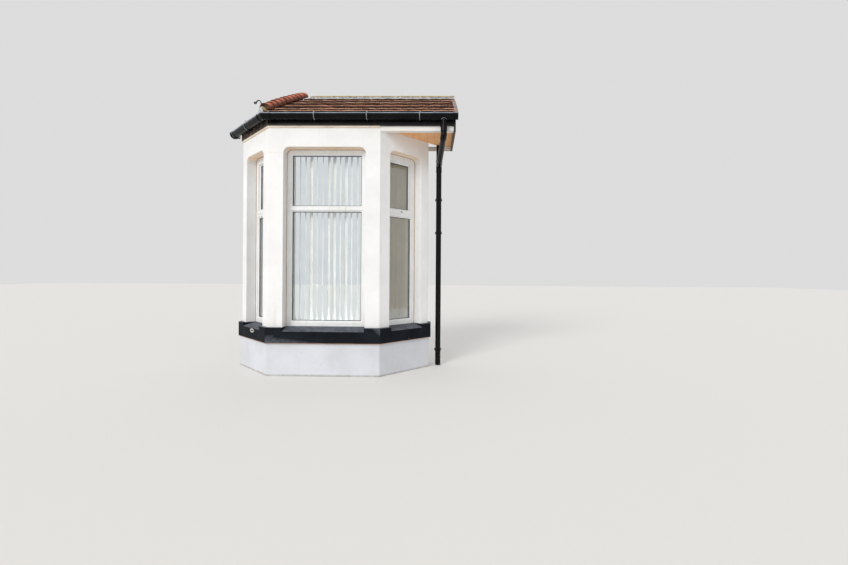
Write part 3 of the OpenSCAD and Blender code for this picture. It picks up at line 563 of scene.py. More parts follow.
def leadFinish():
    # lead sheet: dull grey with white bloom in streaks and dents from the dresser
    material, tree, shader, coords = startMaterial("lead", 0.5, metallic=0.1)
    cloud = addNoise(tree, coords, 8, detail=6, rough=0.65)
    runs = addNoise(tree, coords, 30, stretch=(1, 1, 3), detail=5)
    base = blend(tree, cloud, 0.35, 0.68, tint(168, 168, 172), tint(128, 130, 136))
    paint(tree, shader, blend(tree, runs, 0.44, 0.66, base, tint(232, 226, 222), most=0.9),
          addRange(tree, cloud, 0.3, 0.7, 0.42, 0.68))
    dents = addNoise(tree, coords, 22, detail=2)
    addBump(tree, shader, addMath(tree, "ADD", dents, times(tree, runs, 0.3)), 0.006)
    return material


def glassFinish():
    # clear float glass with a faint green body and a trace of dust
    material, tree, shader, coords = startMaterial("clearGlass", 0.0)
    shader.inputs["Transmission Weight"].default_value = 1.0
    shader.inputs["IOR"].default_value = 1.5
    film = addNoise(tree, coords, 6, detail=5)
    paint(tree, shader, blend(tree, film, 0.4, 0.8, tint(249, 252, 254), tint(244, 249, 252)),
          addRange(tree, film, 0.45, 0.8, 0.0, 0.03))
    return material


def vaneFinish():
    # off-white ribbed plastic vanes with a little light coming through
    material, tree, shader, coords = startMaterial("blindVane", 0.55, specular=0.35)
    # low tones are warmer beige; the side windows' vanes take them as painted warm light
    body = addRamp(tree, readFace(tree, "tone"), [(0.0, tint(246, 232, 204)), (0.5, tint(248, 243, 230)),
                                                  (1.0, tint(251, 251, 249))])
    cloud = addNoise(tree, coords, 5, stretch=(1, 1, 3), detail=4)
    paint(tree, shader, blend(tree, cloud, 0.4, 0.75, body, tint(232, 224, 206), most=0.5))
    addBump(tree, shader, addNoise(tree, coords, 330, stretch=(1, 1, 60), detail=1), 0.0004)
    shader.inputs["Subsurface Weight"].default_value = 0.4
    shader.inputs["Subsurface Radius"].default_value = (1.0, 0.97, 0.9)
    shader.inputs["Subsurface Scale"].default_value = 0.008
    return material


def metalFinish(name, bright, dull, roughness):
    material, tree, shader, coords = startMaterial(name, roughness, metallic=1.0)
    brushed = addNoise(tree, coords, 180, stretch=(1, 1, 8), detail=3)
    paint(tree, shader, blend(tree, brushed, 0.3, 0.7, bright, dull),
          addRange(tree, brushed, 0.3, 0.7, roughness, roughness + 0.2))
    addBump(tree, shader, brushed, 0.0002)
    return material


def tradePaint(name, clean, worn, stain, roughness, stainLow=0.6):
    # brushed paint on boards, with stains bleeding along the joints
    material, tree, shader, coords = startMaterial(name, roughness)
    base = blend(tree, addNoise(tree, coords, 4, detail=6, rough=0.62), 0.35, 0.7, clean, worn)
    blots = addNoise(tree, coords, 13, detail=6, rough=0.7)
    paint(tree, shader, blend(tree, blots, stainLow, stainLow + 0.16, base, stain, most=0.6),
          addRange(tree, blots, 0.3, 0.7, roughness, roughness + 0.2))
    addBump(tree, shader, addNoise(tree, coords, 120, stretch=(8, 1, 8), detail=4), 0.0005)
    return material


wallPaint = renderFinish("wallRender", tint(244, 243, 242), tint(232, 231, 230), 160, 0.35, 0.0022)
plinthPaint = renderFinish("plinthRender", tint(219, 221, 227), tint(204, 206, 211), 85, 0.8, 0.0040)
cillPaint = cillFinish()
windowPlastic = plasticFinish("windowPlastic", tint(240, 241, 243), tint(232, 231, 228), 0.24, 35)
railPlastic = plasticFinish("railPlastic", tint(226, 226, 222), tint(214, 212, 204), 0.35, 50)
rubber = blackFinish("blackRubber", 0.6, 0.35, 90)
spacerMetal = metalFinish("spacerMetal", tint(176, 178, 180), tint(130, 132, 136), 0.3)
screwMetal = metalFinish("screwMetal", tint(150, 148, 142), tint(98, 90, 80), 0.4)
# pale metal for the gutter clips, which stand in for a highlight on each bracket's edge: painted highlight
clipHighlightMetal = metalFinish("clipHighlightMetal", tint(188, 190, 190), tint(120, 122, 124), 0.45)
clearGlass = glassFinish()
vanePlastic = vaneFinish()
mastic = mortarFinish("mastic", tint(190, 152, 112), tint(140, 98, 64), 150, 0.001)
concrete = mortarFinish("concrete", tint(168, 164, 156), tint(140, 136, 128), 120, 0.003)
plaster = mortarFinish("plaster", tint(240, 238, 232), tint(228, 225, 216), 60, 0.0006)
floorWood = timberFinish("floorWood", tint(190, 140, 92), tint(136, 88, 50), roughness=0.38)
timberAcross = timberFinish("timberAcross", tint(196, 158, 108), tint(160, 118, 72), math.pi / 2)
timberDeep = timberFinish("timberDeep", tint(196, 158, 108), tint(156, 114, 68))
timberCant = timberFinish("timberCant", tint(198, 160, 112), tint(160, 118, 72), math.pi / 2 - hipHeading)
tileBodies = [(0.0, tint(58, 34, 30)), (0.3, tint(88, 48, 38)), (0.62, tint(116, 64, 48)),
              (0.86, tint(144, 86, 62)), (1.0, tint(172, 112, 80))]
tileClay = clayFinish("tileClay", tileBodies, tint(40, 28, 26), 0.4, 0)
hipBodies = [(0.0, tint(198, 112, 86)), (0.5, tint(214, 126, 98)), (1.0, tint(228, 144, 116))]
# the hip bonnets take 0.95 of the painted flank shade
hipClay = clayFinish("hipClay", hipBodies, tint(160, 90, 70), 0.15, 0.95)
hipMortar = mortarFinish("hipMortar", tint(206, 184, 132), tint(164, 140, 96), 90, 0.006)
# a dark brown mortar for the core under the hip bonnets
darkBrownMortar = mortarFinish("darkBrownMortar", tint(126, 92, 74), tint(84, 60, 50), 90, 0.006)
leadSheet = leadFinish()
fasciaPaint = blackFinish("fasciaPaint", 0.30, 0.22, 60)
# the gutter takes the full painted rim highlight
gutterPlastic = blackFinish("gutterPlastic", 0.12, 0.04, 12, 0.00008, rimSheenAndDust=1.0, specular=0.10)
pipePlastic = blackFinish("pipePlastic", 0.12, 0.04, 12, 0.00008, specular=0.14)
ironPaint = blackFinish("ironPaint", 0.45, 0.15, 120, specular=0.14)
flakedBoard = tradePaint("flakedBoard", tint(26, 25, 26), tint(40, 36, 34), tint(150, 124, 98), 0.5, 0.46)
# the soffit boards are cream; their paint is given tan as painted warm bounce light from the brick
soffitBounceTan = tradePaint("soffitBounceTan", tint(252, 196, 138), tint(240, 178, 118), tint(190, 124, 70), 0.5)
beamPaint = tradePaint("beamPaint", tint(244, 242, 238), tint(234, 230, 222), tint(206, 184, 150), 0.42)
stripPaint = tradePaint("stripPaint", tint(240, 228, 210), tint(224, 204, 178), tint(160, 112, 72),
                        0.6, 0.55)
boardGloss = tradePaint("boardGloss", tint(242, 242, 240), tint(234, 233, 228), tint(214, 206, 190), 0.25)
print("materials ready")

# Walls: plinth and lintels each run round the bay in one, and the piers stand between
walls = {"arris": 0.003}


def wallPiece(name, names, material, joined):
    bm = nodeCopy(names)
    if joined:
        dropMitre(bm)
        bmesh.ops.remove_doubles(bm, verts=bm.verts, dist=0.00004)
    tidyFaces(bm)
    softenEdges(bm, walls["arris"])
    return addPiece(name, bm, [material], names, smooth=35)


wallPiece("plinthWall", ["plinth_front", "plinth_left", "plinth_right"], plinthPaint, True)
wallPiece("lintelWall", ["lintel_front", "lintel_left", "lintel_right"], wallPaint, True)
for pier in ("pier_wall_left", "pier_corner_left", "pier_corner_right", "pier_wall_right"):
    wallPiece("render_" + pier, [pier], wallPaint, False)
print("walls done")

# Cills: three stones, their arrises rounded by many coats of paint
cills = {"arris": 0.005, "out": 0.045, "inner": 0.240}
for side in ("front", "left", "right"):
    bm = nodeCopy(["cill_" + side])
    tidyFaces(bm)
    softenEdges(bm, cills["arris"], steps=3, sharper=12)
    inward = windowPlace[side].inverted()
    bm.normal_update()
    for face in bm.faces:
        depth = (inward @ face.calc_center_median()).y
        atHouse = face.calc_center_median().y > -0.001
        if depth > cills["inner"] or atHouse:
            face.material_index = 1
    addPiece("cillStone_" + side, bm, [cillPaint, wallPaint], ["cill_" + side], smooth=40)

# a small pale ring on the left-hand cill, of unknown origin, modelled as a thin film of old paint
ringMark = {
    "along": 0.39,
    "height": 0.120,
    "halfWide": 0.054,
    "halfTall": 0.019,
    "bar": 0.0050,
    "flat": 0.3,
}
bm = bmesh.new()
turns = [math.radians(step * 20) for step in range(18)]
addTube(bm, [(ringMark["halfWide"] * math.cos(a), ringMark["halfTall"] * math.sin(a), 0) for a in turns],
        ringMark["bar"], closed=True)
bmesh.ops.scale(bm, vec=(1, 1, ringMark["flat"]), verts=bm.verts)
spot = (Matrix.Translation(frontCorner(-1, 0)) @ Matrix.Rotation(-cantAngle, 4, "Z")
        @ Matrix.Translation((-ringMark["along"], -cills["out"], plinthTop + ringMark["height"]))
        @ Matrix.Rotation(math.pi / 2, 4, "X"))
bmesh.ops.transform(bm, matrix=spot, verts=bm.verts)
addPiece("cillRingMark", bm, [windowPlastic], smooth=40)
print("cills done")

# Windows: welded plastic frames, black gaskets, double glazing and a mastic line round each opening
glazing = {
    "ease": 0.0016,
    "frameFace": 0.054,
    "bead": 0.018,
    "beadNose": 0.004,
    "groove": 0.012,
    "glassDepth": 0.023,
    "unit": 0.024,
    "sheet": 0.004,
    "transom": 0.042,
    "frontTransom": cillTop + 1.521,
    "sideTransom": cillTop + 1.487,
    "sashFace": 0.066,
    "sashLap": 0.008,
    "sashOut": 0.008,
    "gasket": 0.0045,
    "tuck": 0.001,
    "nip": 0.0005,
    "spacer": 0.0135,
    "headRadius": 0.074,
    "masticRadius": 0.0048,
    "coverOut": 0.003,
    "coverIn": 0.001,
    "drainSpots": {"front": (-0.30, 0.30), "left": (-0.12,), "right": (-0.12,)},
    "drainHalf": 0.017,
    "drainFoot": 0.016,
    "drainTop": 0.028,
    "ventStart": 0.012,
    "ventEnd": 0.048,
    "ventLift": 0.012,
    "ventHeight": 0.009,
}


def addRing(bm, halfWidth, low, high, band, front, back, place):
    # a flat rectangular ring between two depths, its band measured inward from the outer edge
    outer = bmesh.ops.create_grid(bm, x_segments=1, y_segments=1, size=1)["verts"]
    face = outer[0].link_faces[0]
    shape = Matrix.Translation((0, front, (low + high) / 2)) @ Matrix.Rotation(math.pi / 2, 4, "X")
    bmesh.ops.scale(bm, vec=(halfWidth, (high - low) / 2, 1), verts=outer)
    ring = bmesh.ops.inset_region(bm, faces=[face], thickness=band, use_even_offset=True,
                                  use_boundary=True)["faces"]
    bmesh.ops.delete(bm, geom=[face], context="FACES_ONLY")
    sides = bmesh.ops.extrude_face_region(bm, geom=ring, use_keep_orig=True)["geom"]
    moved = onlyVerts(sides)
    bmesh.ops.translate(bm, vec=(0, 0, front - back), verts=moved)
    verts = list({v for f in ring for v in f.verts} | set(moved))
    bmesh.ops.transform(bm, matrix=place @ shape, verts=verts)


def addCover(name, spans, low, high, face, material, place):
    # small moulded covers that stand a little off the plastic
    bm = bmesh.new()
    for start, end in spans:
        addBlock(bm, (start, face - glazing["coverOut"], low), (end, face + glazing["coverIn"], high),
                 place, soft=0.001)
    addPiece(name, bm, [material], smooth=40)


def windowLights(which):
    # each light as the half width, low and high of the hole that its beads leave
    g = glazing
    half = windowWidth[which] / 2 - g["frameFace"] - g["bead"]
    middle = g["frontTransom"] if which == "front" else g["sideTransom"]
    lights = [(half, cillTop + g["frameFace"] + g["bead"], middle - g["transom"] / 2 - g["bead"])]
    if which == "front":
        lights.append((half, middle + g["transom"] / 2 + g["bead"], headZ - g["frameFace"] - g["bead"]))
    else:
        rim = g["frameFace"] - g["sashLap"] + g["sashFace"]
        foot = middle + g["transom"] / 2 - g["sashLap"] + g["sashFace"]
        lights.append((windowWidth[which] / 2 - rim, foot, headZ - rim))
    return lights


for which in ("front", "left", "right"):
    place = windowPlace[which] @ Matrix.Translation((0, bay["reveal"], 0))
    g = glazing

    dressNodes("frame_" + which, ["window_frame_" + which], [windowPlastic], g["ease"],
               sharper=12)

    if which != "front":
        dressNodes("topSash_" + which, ["toplight_" + which], [windowPlastic], g["ease"],
                   sharper=12)

    gaskets = bmesh.new()
    glass = bmesh.new()
    spacers = bmesh.new()
    for half, low, high in windowLights(which):
        reach = g["groove"]
        inner = g["glassDepth"] + g["unit"]
        for front, back in ((g["glassDepth"] - g["beadNose"] + g["nip"], g["glassDepth"]),
                            (inner, inner + g["beadNose"] - g["nip"])):
            addRing(gaskets, half + g["tuck"], low - g["tuck"], high + g["tuck"],
                    g["gasket"] + g["tuck"], front, back, place)
        for depth in (g["glassDepth"], g["glassDepth"] + g["unit"] - g["sheet"]):
            addBlock(glass, (-half - reach, depth, low - reach),
                     (half + reach, depth + g["sheet"], high + reach), place, soft=0.0006, steps=1)
        addRing(spacers, half + reach, low - reach, high + reach, g["spacer"],
                g["glassDepth"] + g["sheet"], g["glassDepth"] + g["unit"] - g["sheet"], place)
    closeUp(gaskets)
    closeUp(spacers)
    addPiece("gaskets_" + which, gaskets, [rubber])
    sheets = addPiece("glassSheets_" + which, glass, [clearGlass], ["glass_" + which])
    sheets.visible_shadow = False
    addPiece("glassSpacers_" + which, spacers, [spacerMetal])

    # the mastic follows the cheeks and the rounded head of the opening
    bm = bmesh.new()
    edge = windowWidth[which] / 2 - 0.001
    radius = g["headRadius"]
    points = [(-edge, 0, cillTop + 0.004), (-edge, 0, pierTop)]
    for step in range(1, 8):
        angle = math.pi - step * math.pi / 16
        points.append((-edge + radius + radius * math.cos(angle), 0, pierTop + radius * math.sin(angle)))
    points.append((-edge + radius, 0, pierTop + radius - 0.001))
    points += [(-x, y, z) for x, y, z in reversed(points)]
    addTube(bm, [place @ Vector(p) for p in points], g["masticRadius"], sides=8)
    addPiece("masticLine_" + which, bm, [mastic], smooth=60)

    spans = [(x - g["drainHalf"], x + g["drainHalf"]) for x in g["drainSpots"][which]]
    addCover("drainCaps_" + which, spans, cillTop + g["drainFoot"], cillTop + g["drainTop"], 0,
             windowPlastic, place)
    if which != "front":
        foot = g["sideTransom"] + g["transom"] / 2 + g["ventLift"]
        addCover("ventCap_" + which, [(g["ventStart"], g["ventEnd"])], foot, foot + g["ventHeight"],
                 -g["sashOut"], rubber, place)
print("windows done")

# Blinds: upright vanes that hang from a rail, turned open, with a weighted foot that hangs flatter
blind = {
    "vane": 0.089,
    "thick": 0.0016,
    "pitch": 0.076,
    "turn": 122,
    "footTurn": 144,
    "spread": 9,
    "footLength": 0.13,
    "belly": 0.004,
    "railWidth": 0.044,
    "railHeight": 0.038,
    "depth": 0.2537,
    "clear": 0.018,
    "board": 0.025,
    "columns": 4,
    "slip": 0.004,
    "footSpread": 8,
    "footSlip": 0.004,
    "headGap": 0.012,
    "railShort": 0.020,
    "hookHalf": 0.004,
    "hookThick": 0.002,
    "hookDip": 0.010,
    "hookRise": 0.002,
    # the side windows' vanes get lower, warmer beige tones: painted warm light, not a different vane
    "tone": {"front": 0.6, "left": 0.15, "right": 0.0},
    "toneSpread": 0.4,
    "seed": {"front": 11, "left": 23, "right": 37},
    "links": 6,
    "chainBar": 0.0016,
    "chainOut": 0.030,
    "chainHeight": 0.016,
    "chainSag": 0.006,
}


def addVane(bm, x, low, high, turn, footTurn, tone, layer, place):
    # one vane: a strip with a belly across it, twisted towards its foot, given its thickness
    b = blind
    made = bmesh.ops.create_grid(bm, x_segments=b["columns"], y_segments=14, size=0.5)["verts"]
    for v in made:
        across = v.co.x
        share = v.co.y + 0.5
        z = low + (high - low) * share ** 2.1
        fall = max(0.0, 1 - (z - low) / b["footLength"]) ** 1.5
        angle = math.radians(turn + (footTurn - turn) * fall)
        bulge = b["belly"] * (1 - 4 * across * across) * (1 - 0.7 * fall)
        width = across * b["vane"]
        v.co = (x + width * math.cos(angle) - bulge * math.sin(angle),
                b["depth"] + width * math.sin(angle) + bulge * math.cos(angle), z)
    faces = list({f for v in made for f in v.link_faces})
    solid = bmesh.ops.solidify(bm, geom=faces, thickness=b["thick"])["geom"]
    every = set(made) | set(onlyVerts(solid))
    for face in {f for v in every for f in v.link_faces}:
        face[layer] = tone
    bmesh.ops.transform(bm, matrix=place, verts=list(every))


for which in ("front", "left", "right"):
    b = blind
    draw = random.Random(b["seed"][which])
    place = windowPlace[which]
    rail = windowWidth[which] - b["railShort"]
    spare = rail + b["vane"] * math.cos(math.radians(b["turn"]))
    count = int(spare / b["pitch"])
    low = cillTop + b["board"] + b["clear"]
    railFoot = headZ - b["railHeight"]
    high = railFoot - b["headGap"]
    bm = bmesh.new()
    layer = bm.faces.layers.float.new("tone")
    for i in range(count + 1):
        x = (i - count / 2) * b["pitch"] + draw.uniform(-b["slip"], b["slip"])
        turn = b["turn"] + draw.uniform(-b["spread"], b["spread"])
        footTurn = b["footTurn"] + draw.uniform(-b["footSpread"], b["footSpread"])
        foot = low + draw.uniform(0, b["footSlip"])
        tone = b["tone"][which] + draw.random() * b["toneSpread"]
        addVane(bm, x, foot, high, turn, footTurn, tone, layer, place)
        addBlock(bm, (x - b["hookHalf"], b["depth"] - b["hookThick"], high - b["hookDip"]),
                 (x + b["hookHalf"], b["depth"] + b["hookThick"], railFoot + b["hookRise"]),
                 place, soft=0.0008, steps=1)
    closeUp(bm)
    addBlock(bm, (-rail / 2, b["depth"] - b["railWidth"] / 2, railFoot),
             (rail / 2, b["depth"] + b["railWidth"] / 2, headZ), place, soft=0.005, steps=3)
    addPiece("blindVanes_" + which, bm, [vanePlastic], ["blind_" + which], smooth=50)
    # a link chain joins the vanes' feet and sags a little between them
    chain = bmesh.new()
    links = []
    for step in range(count * b["links"] + 1):
        sag = math.sin(math.pi * (step % b["links"]) / b["links"]) * b["chainSag"]
        links.append(place @ Vector(((step / b["links"] - count / 2) * b["pitch"],
                                     b["depth"] - b["chainOut"], low + b["chainHeight"] - sag)))
    addTube(chain, links, b["chainBar"], sides=4)
    addPiece("blindChain_" + which, chain, [railPlastic], smooth=60)
print("blinds done")

# Inside the bay: a painted board on the wall, floor boards on the slab, and the plaster overhead
inside = {
    "plank": 0.118,
    "gap": 0.0022,
    "round": 0.0015,
    "firstCut": 0.031,
    "unevenness": 0.0006,
    "boardRound": 0.006,
}
dressNodes("innerBoard", ["window_board"], [boardGloss], inside["boardRound"],
           steps=4, sharper=40)

low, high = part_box("floor_boards")
bm = bmesh.new()
layer = bm.faces.layers.float.new("tone")
draw = random.Random(5)
x = low.x - inside["firstCut"]
while x < high.x:
    end = x + inside["plank"] - inside["gap"]
    made = addBlock(bm, (x, low.y, low.z), (end, high.y, high.z - draw.uniform(0, inside["unevenness"])),
                    soft=inside["round"], steps=1)
    tone = draw.random()
    for face in {f for v in made if v.is_valid for f in v.link_faces}:
        face[layer] = tone
    x += inside["plank"]
cutAway(bm, (low.x, 0, 0), (-1, 0, 0))
cutAway(bm, (high.x, 0, 0), (1, 0, 0))
for side in (-1, 1):
    cutAway(bm, frontCorner(side, -bay["wall"]), (side * math.sin(cantAngle), -math.cos(cantAngle), 0))
closeUp(bm)
addPiece("floorPlanks", bm, [floorWood], ["floor_boards"], smooth=30)

for name, material in (
        ("floor_slab", concrete), ("ceiling", plaster), ("ceiling_joists", timberDeep),
        ("wall_plate", timberAcross), ("rafters", timberDeep), ("hip_rafter", timberCant),
        ("wall_ledger", timberAcross), ("battens", timberAcross)):
    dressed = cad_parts[name].data.materials
    dressed.clear()
    dressed.append(material)
print("inside done")

# Roof: single plain tiles in broken bond, cut to the hip, with bonnets bedded over it
roof = {
    "gauge": 0.108,
    "tileWidth": 0.165,
    "joint": 0.003,
    "tileThick": 0.013,
    "lap": 0.018,
    "camber": 0.003,
    "edge": 0.0022,
    "bonnetRadius": 0.083,
    "bonnetSink": 0.004,
    "bonnetLength": 0.190,
    "bonnetBack": 0.034,
    "bonnetSweep": 178,
    "hipGap": 0.018,
    "wave": 0.0035,
    "bow": 0.014,
    "wornFoot": 0.0055,
    "cleanShare": 0.12,
    "bed": 0.0025,
    "settle": 0.0022,
    "rowSlip": 0.002,
    "tileSlip": (-0.0035, 0.0015),
    "eavesSlip": 0.001,
    "sideSlip": 0.0008,
    "tilt": (-0.7, 0.5),
    "twist": 0.7,
    "rock": 0.5,
    "tone": 0.32,
    "paleTone": 0.25,
    "toneSpread": 0.22,
    "wear": (0.45, 1.0),
    "seed": {"front": 71, "left": 93},
    "frontStart": -0.84,
    "leftStart": -1.32,
    "leftEnd": 0.24,
    "bonnetSlip": 0.003,
    "bonnetSway": 0.002,
    "bonnetSettle": (-0.002, 0.001),
    "bonnetTilt": 0.8,
    "bonnetTwist": 1.2,
    "bonnetEase": 0.0025,
    "bonnetHang": 0.030,
    "wallGap": 0.021,
    "coreGap": 0.0015,
    "mortarStart": 0.004,
    "mortarShare": 0.66,
    "mortarAcross": 0.024,
}
roofTan = math.tan(bay["pitch"])
course = roof["gauge"] * math.cos(bay["pitch"])
courseCount = math.ceil((bay["depth"] + bay["eavesOver"]) / course)
tileDrop = roof["tileThick"] / math.cos(bay["pitch"])
share = {"front": 1.0, "left": leftShare}


def roofZ(d, which="front"):
    # height of the tiles' top edges at a distance d outside the wall
    return bay["eavesZ"] + (bay["eavesOver"] - d) / share[which] * roofTan


def bowed(d, which="front"):
    # the same with the slope's slight bow: it is steeper at the eaves and flatter at the wall
    up = (bay["eavesOver"] - d) / share[which] / roofRun
    return roofZ(d, which) + roof["bow"] * 4 * up * (1 - up)


def plainTile(run, slope):
    # one cambered tile, its foot at the origin and its top face on the plane z = 0
    length = run / math.cos(slope) + roof["lap"]
    bm = bmesh.new()
    addBlock(bm, (-(roof["tileWidth"] - roof["joint"]) / 2, 0, -roof["tileThick"]),
             ((roof["tileWidth"] - roof["joint"]) / 2, length, 0), soft=roof["edge"], steps=1)
    for point, normal in (((0, 0, 0), (1, 0, 0)), ((0, 0, -roof["wornFoot"]), (0, 0, 1))):
        bmesh.ops.bisect_plane(bm, geom=bm.verts[:] + bm.edges[:] + bm.faces[:], dist=0.000001,
                               plane_co=point, plane_no=normal)
    bm.normal_update()
    feet = []
    for face in bm.faces:
        upper = face.calc_center_median().z > -roof["wornFoot"]
        # the lower part of each foot carries -1, which the clay material darkens as painted shade with
        # soot
        feet.append((1.0 if upper else -1.0) if face.normal.y < -0.5 else 0.0)
    for v in bm.verts:
        v.co.z += roof["camber"] * (math.cos(v.co.x / roof["tileWidth"] * math.pi) - 1)
    mesh = bpy.data.meshes.new("plainTile")
    bm.to_mesh(mesh)
    bm.free()
    return mesh, feet


def layTiles(name, which, first, last, cuts, node):
    run = course * share[which]
    slope = math.atan2(course * roofTan - tileDrop, run)
    tile, feet = plainTile(run, slope)
    place = slopePlace[which]
    draw = random.Random(roof["seed"][which])
    bm = bmesh.new()
    layer = bm.faces.layers.float.new("tone")
    footLayer = bm.faces.layers.float.new("foot")
    for row in range(courseCount):
        d = bay["eavesOver"] - row * run
        lean = math.atan2(bowed(d - run, which) - bowed(d, which) - tileDrop, run)
        # every other course keeps its pale worn foot, to space the pale lines as the photograph does
        clean = 1.0 if row == 0 or row % 2 else roof["cleanShare"]
        x = first + (row % 2) * roof["tileWidth"] / 2
        rowSlip = draw.uniform(-roof["rowSlip"], roof["rowSlip"])
        while x < last + roof["tileWidth"]:
            before = len(bm.verts)
            facesBefore = len(bm.faces)
            bm.from_mesh(tile)
            bm.verts.ensure_lookup_table()
            bm.faces.ensure_lookup_table()
            wander = noise.noise(Vector((x * 2.3, row * 1.7, 4.0))) * roof["wave"]
            if row:
                slip = rowSlip + draw.uniform(*roof["tileSlip"])
            else:
                slip = draw.uniform(-roof["eavesSlip"], roof["eavesSlip"])
            aside = x + draw.uniform(-roof["sideSlip"], roof["sideSlip"])
            height = bowed(d, which) - roof["bed"] + wander * 0.5 - draw.uniform(0, roof["settle"])
            tilt = lean + math.radians(draw.uniform(*roof["tilt"]))
            twist = math.radians(draw.uniform(-roof["twist"], roof["twist"]))
            rock = math.radians(draw.uniform(-roof["rock"], roof["rock"]))
            lie = (Matrix.Translation((aside, -d + slip, height)) @ Matrix.Rotation(tilt, 4, "X")
                   @ Matrix.Rotation(twist, 4, "Z") @ Matrix.Rotation(rock, 4, "Y"))
            bmesh.ops.transform(bm, matrix=place @ lie, verts=bm.verts[before:])
            tone = draw.gauss(roof["tone"] + roof["paleTone"] * clean, roof["toneSpread"])
            tone = min(1.0, max(0.0, tone))
            worn = draw.uniform(*roof["wear"])
            for face, foot in zip(bm.faces[facesBefore:], feet):
                face[layer] = tone
                face[footLayer] = foot * worn * clean if foot > 0 else foot
            x += roof["tileWidth"]
    for point, normal in cuts:
        cutAway(bm, point, normal)
    closeUp(bm)
    addPiece(name, bm, [tileClay], [node], smooth=30)


hipSide = hipFoot + hipNormal * roof["hipGap"]
layTiles("plainTilesFront", "front", roof["frontStart"], roofEnd,
         [(hipSide, -hipNormal), ((roofEnd, 0, 0), (1, 0, 0)), ((0, 0, 0), (0, 1, 0))], "tiles_front")
leftVerge = -halfWidth - bay["eavesOver"]
layTiles("plainTilesLeft", "left", roof["leftStart"], roof["leftEnd"],
         [(hipFoot - hipNormal * roof["hipGap"], hipNormal), ((leftVerge, 0, 0), (-1, 0, 0)),
          ((0, 0, 0), (0, 1, 0))], "tiles_left")

# mortar fills the verge between the tiles' ends and the board under them
verge = {
    "inner": 0.045,
    "outer": 0.005,
    "start": 0.004,
    "short": 0.006,
    "drop": 0.010,
    "depth": 0.026,
    "rough": 0.0022,
}
bm = bmesh.new()
addBlock(bm, (roofEnd - verge["inner"], 0, 0), (roofEnd - verge["outer"], 1, 1))
along = [e for e in bm.edges if abs(e.verts[0].co.y - e.verts[1].co.y) > 0.5]
bmesh.ops.subdivide_edges(bm, edges=along, cuts=70, use_grid_fill=True)
for v in bm.verts:
    d = bay["eavesOver"] - verge["start"] - v.co.y * (roofRun - verge["short"])
    rough = noise.noise(Vector((v.co.x * 40, d * 40, v.co.z * 3))) * verge["rough"]
    height = bowed(d) - verge["drop"] - (1 - v.co.z) * verge["depth"] + rough * 0.6
    v.co = (v.co.x + rough, -bay["depth"] - d, height)
addPiece("vergeMortar", bm, [concrete], smooth=50)

hipRise = math.atan(roofTan * math.sin(hipHeading))
hipRun = (hipHead - hipFoot).length / math.cos(hipRise)
hipPlace = (Matrix.Translation((hipFoot.x, hipFoot.y, bay["eavesZ"]))
            @ Matrix.Rotation(hipHeading, 4, "Z") @ Matrix.Rotation(-hipRise, 4, "Y"))
spacing = hipRun / courseCount
taper = roof["tileThick"] * roof["bonnetLength"] / spacing
wallCut = ((0, -roof["wallGap"], 0), (0, 1, 0))


def underSlopes():
    # planes just under the two slopes of tiles, for what must not hang below them
    for which, pitch in (("front", bay["pitch"]), ("left", bay["leftPitch"])):
        down = slopePlace[which].to_3x3() @ Vector((0, math.sin(pitch), -math.cos(pitch)))
        point = Vector((hipFoot.x, hipFoot.y, bay["eavesZ"] - 0.012))
        yield point, down


draw = random.Random(17)
bm = bmesh.new()
layer = bm.faces.layers.float.new("tone")
for i in range(courseCount):
    length = spacing if i == courseCount - 1 else roof["bonnetLength"]
    outer = roof["bonnetRadius"]
    thick = roof["tileThick"]
    thin = taper * length / roof["bonnetLength"]
    before = len(bm.verts)
    facesBefore = len(bm.faces)
    corners = [bm.verts.new(p) for p in ((0, 0, outer - thick), (0, 0, outer), (length, 0, outer - thin),
                                         (length, 0, outer - thin - thick))]
    profile = bm.faces.new(corners)
    half = math.radians(roof["bonnetSweep"] / 2)
    bmesh.ops.rotate(bm, verts=corners, cent=(0, 0, 0), matrix=Matrix.Rotation(-half, 3, "X"))
    bmesh.ops.spin(bm, geom=[profile], cent=(0, 0, 0), axis=(1, 0, 0), angle=2 * half, steps=18,
                   use_duplicate=False)
    bm.verts.ensure_lookup_table()
    bm.faces.ensure_lookup_table()
    up = i / courseCount
    rise = roof["bow"] * 4 * up * (1 - up) - roof["bonnetSink"]
    along = i * spacing + roof["bonnetBack"] + draw.uniform(-roof["bonnetSlip"], roof["bonnetSlip"])
    aside = draw.uniform(-roof["bonnetSway"], roof["bonnetSway"])
    height = rise + draw.uniform(*roof["bonnetSettle"])
    tilt = math.radians(draw.uniform(-roof["bonnetTilt"], roof["bonnetTilt"]))
    twist = math.radians(draw.uniform(-roof["bonnetTwist"], roof["bonnetTwist"]))
    lie = (Matrix.Translation((along, aside, height)) @ Matrix.Rotation(tilt, 4, "Y")
           @ Matrix.Rotation(twist, 4, "Z"))
    bmesh.ops.transform(bm, matrix=hipPlace @ lie, verts=bm.verts[before:])
    tone = draw.random()
    for face in bm.faces[facesBefore:]:
        face[layer] = tone
closeUp(bm)
softenEdges(bm, roof["bonnetEase"], sharper=50)
for point, normal in underSlopes():
    cutAway(bm, point + Vector((0, 0, -roof["bonnetHang"])), normal)
cutAway(bm, *wallCut)
closeUp(bm)
addPiece("hipBonnets", bm, [hipClay], ["hip_tiles"], smooth=40)

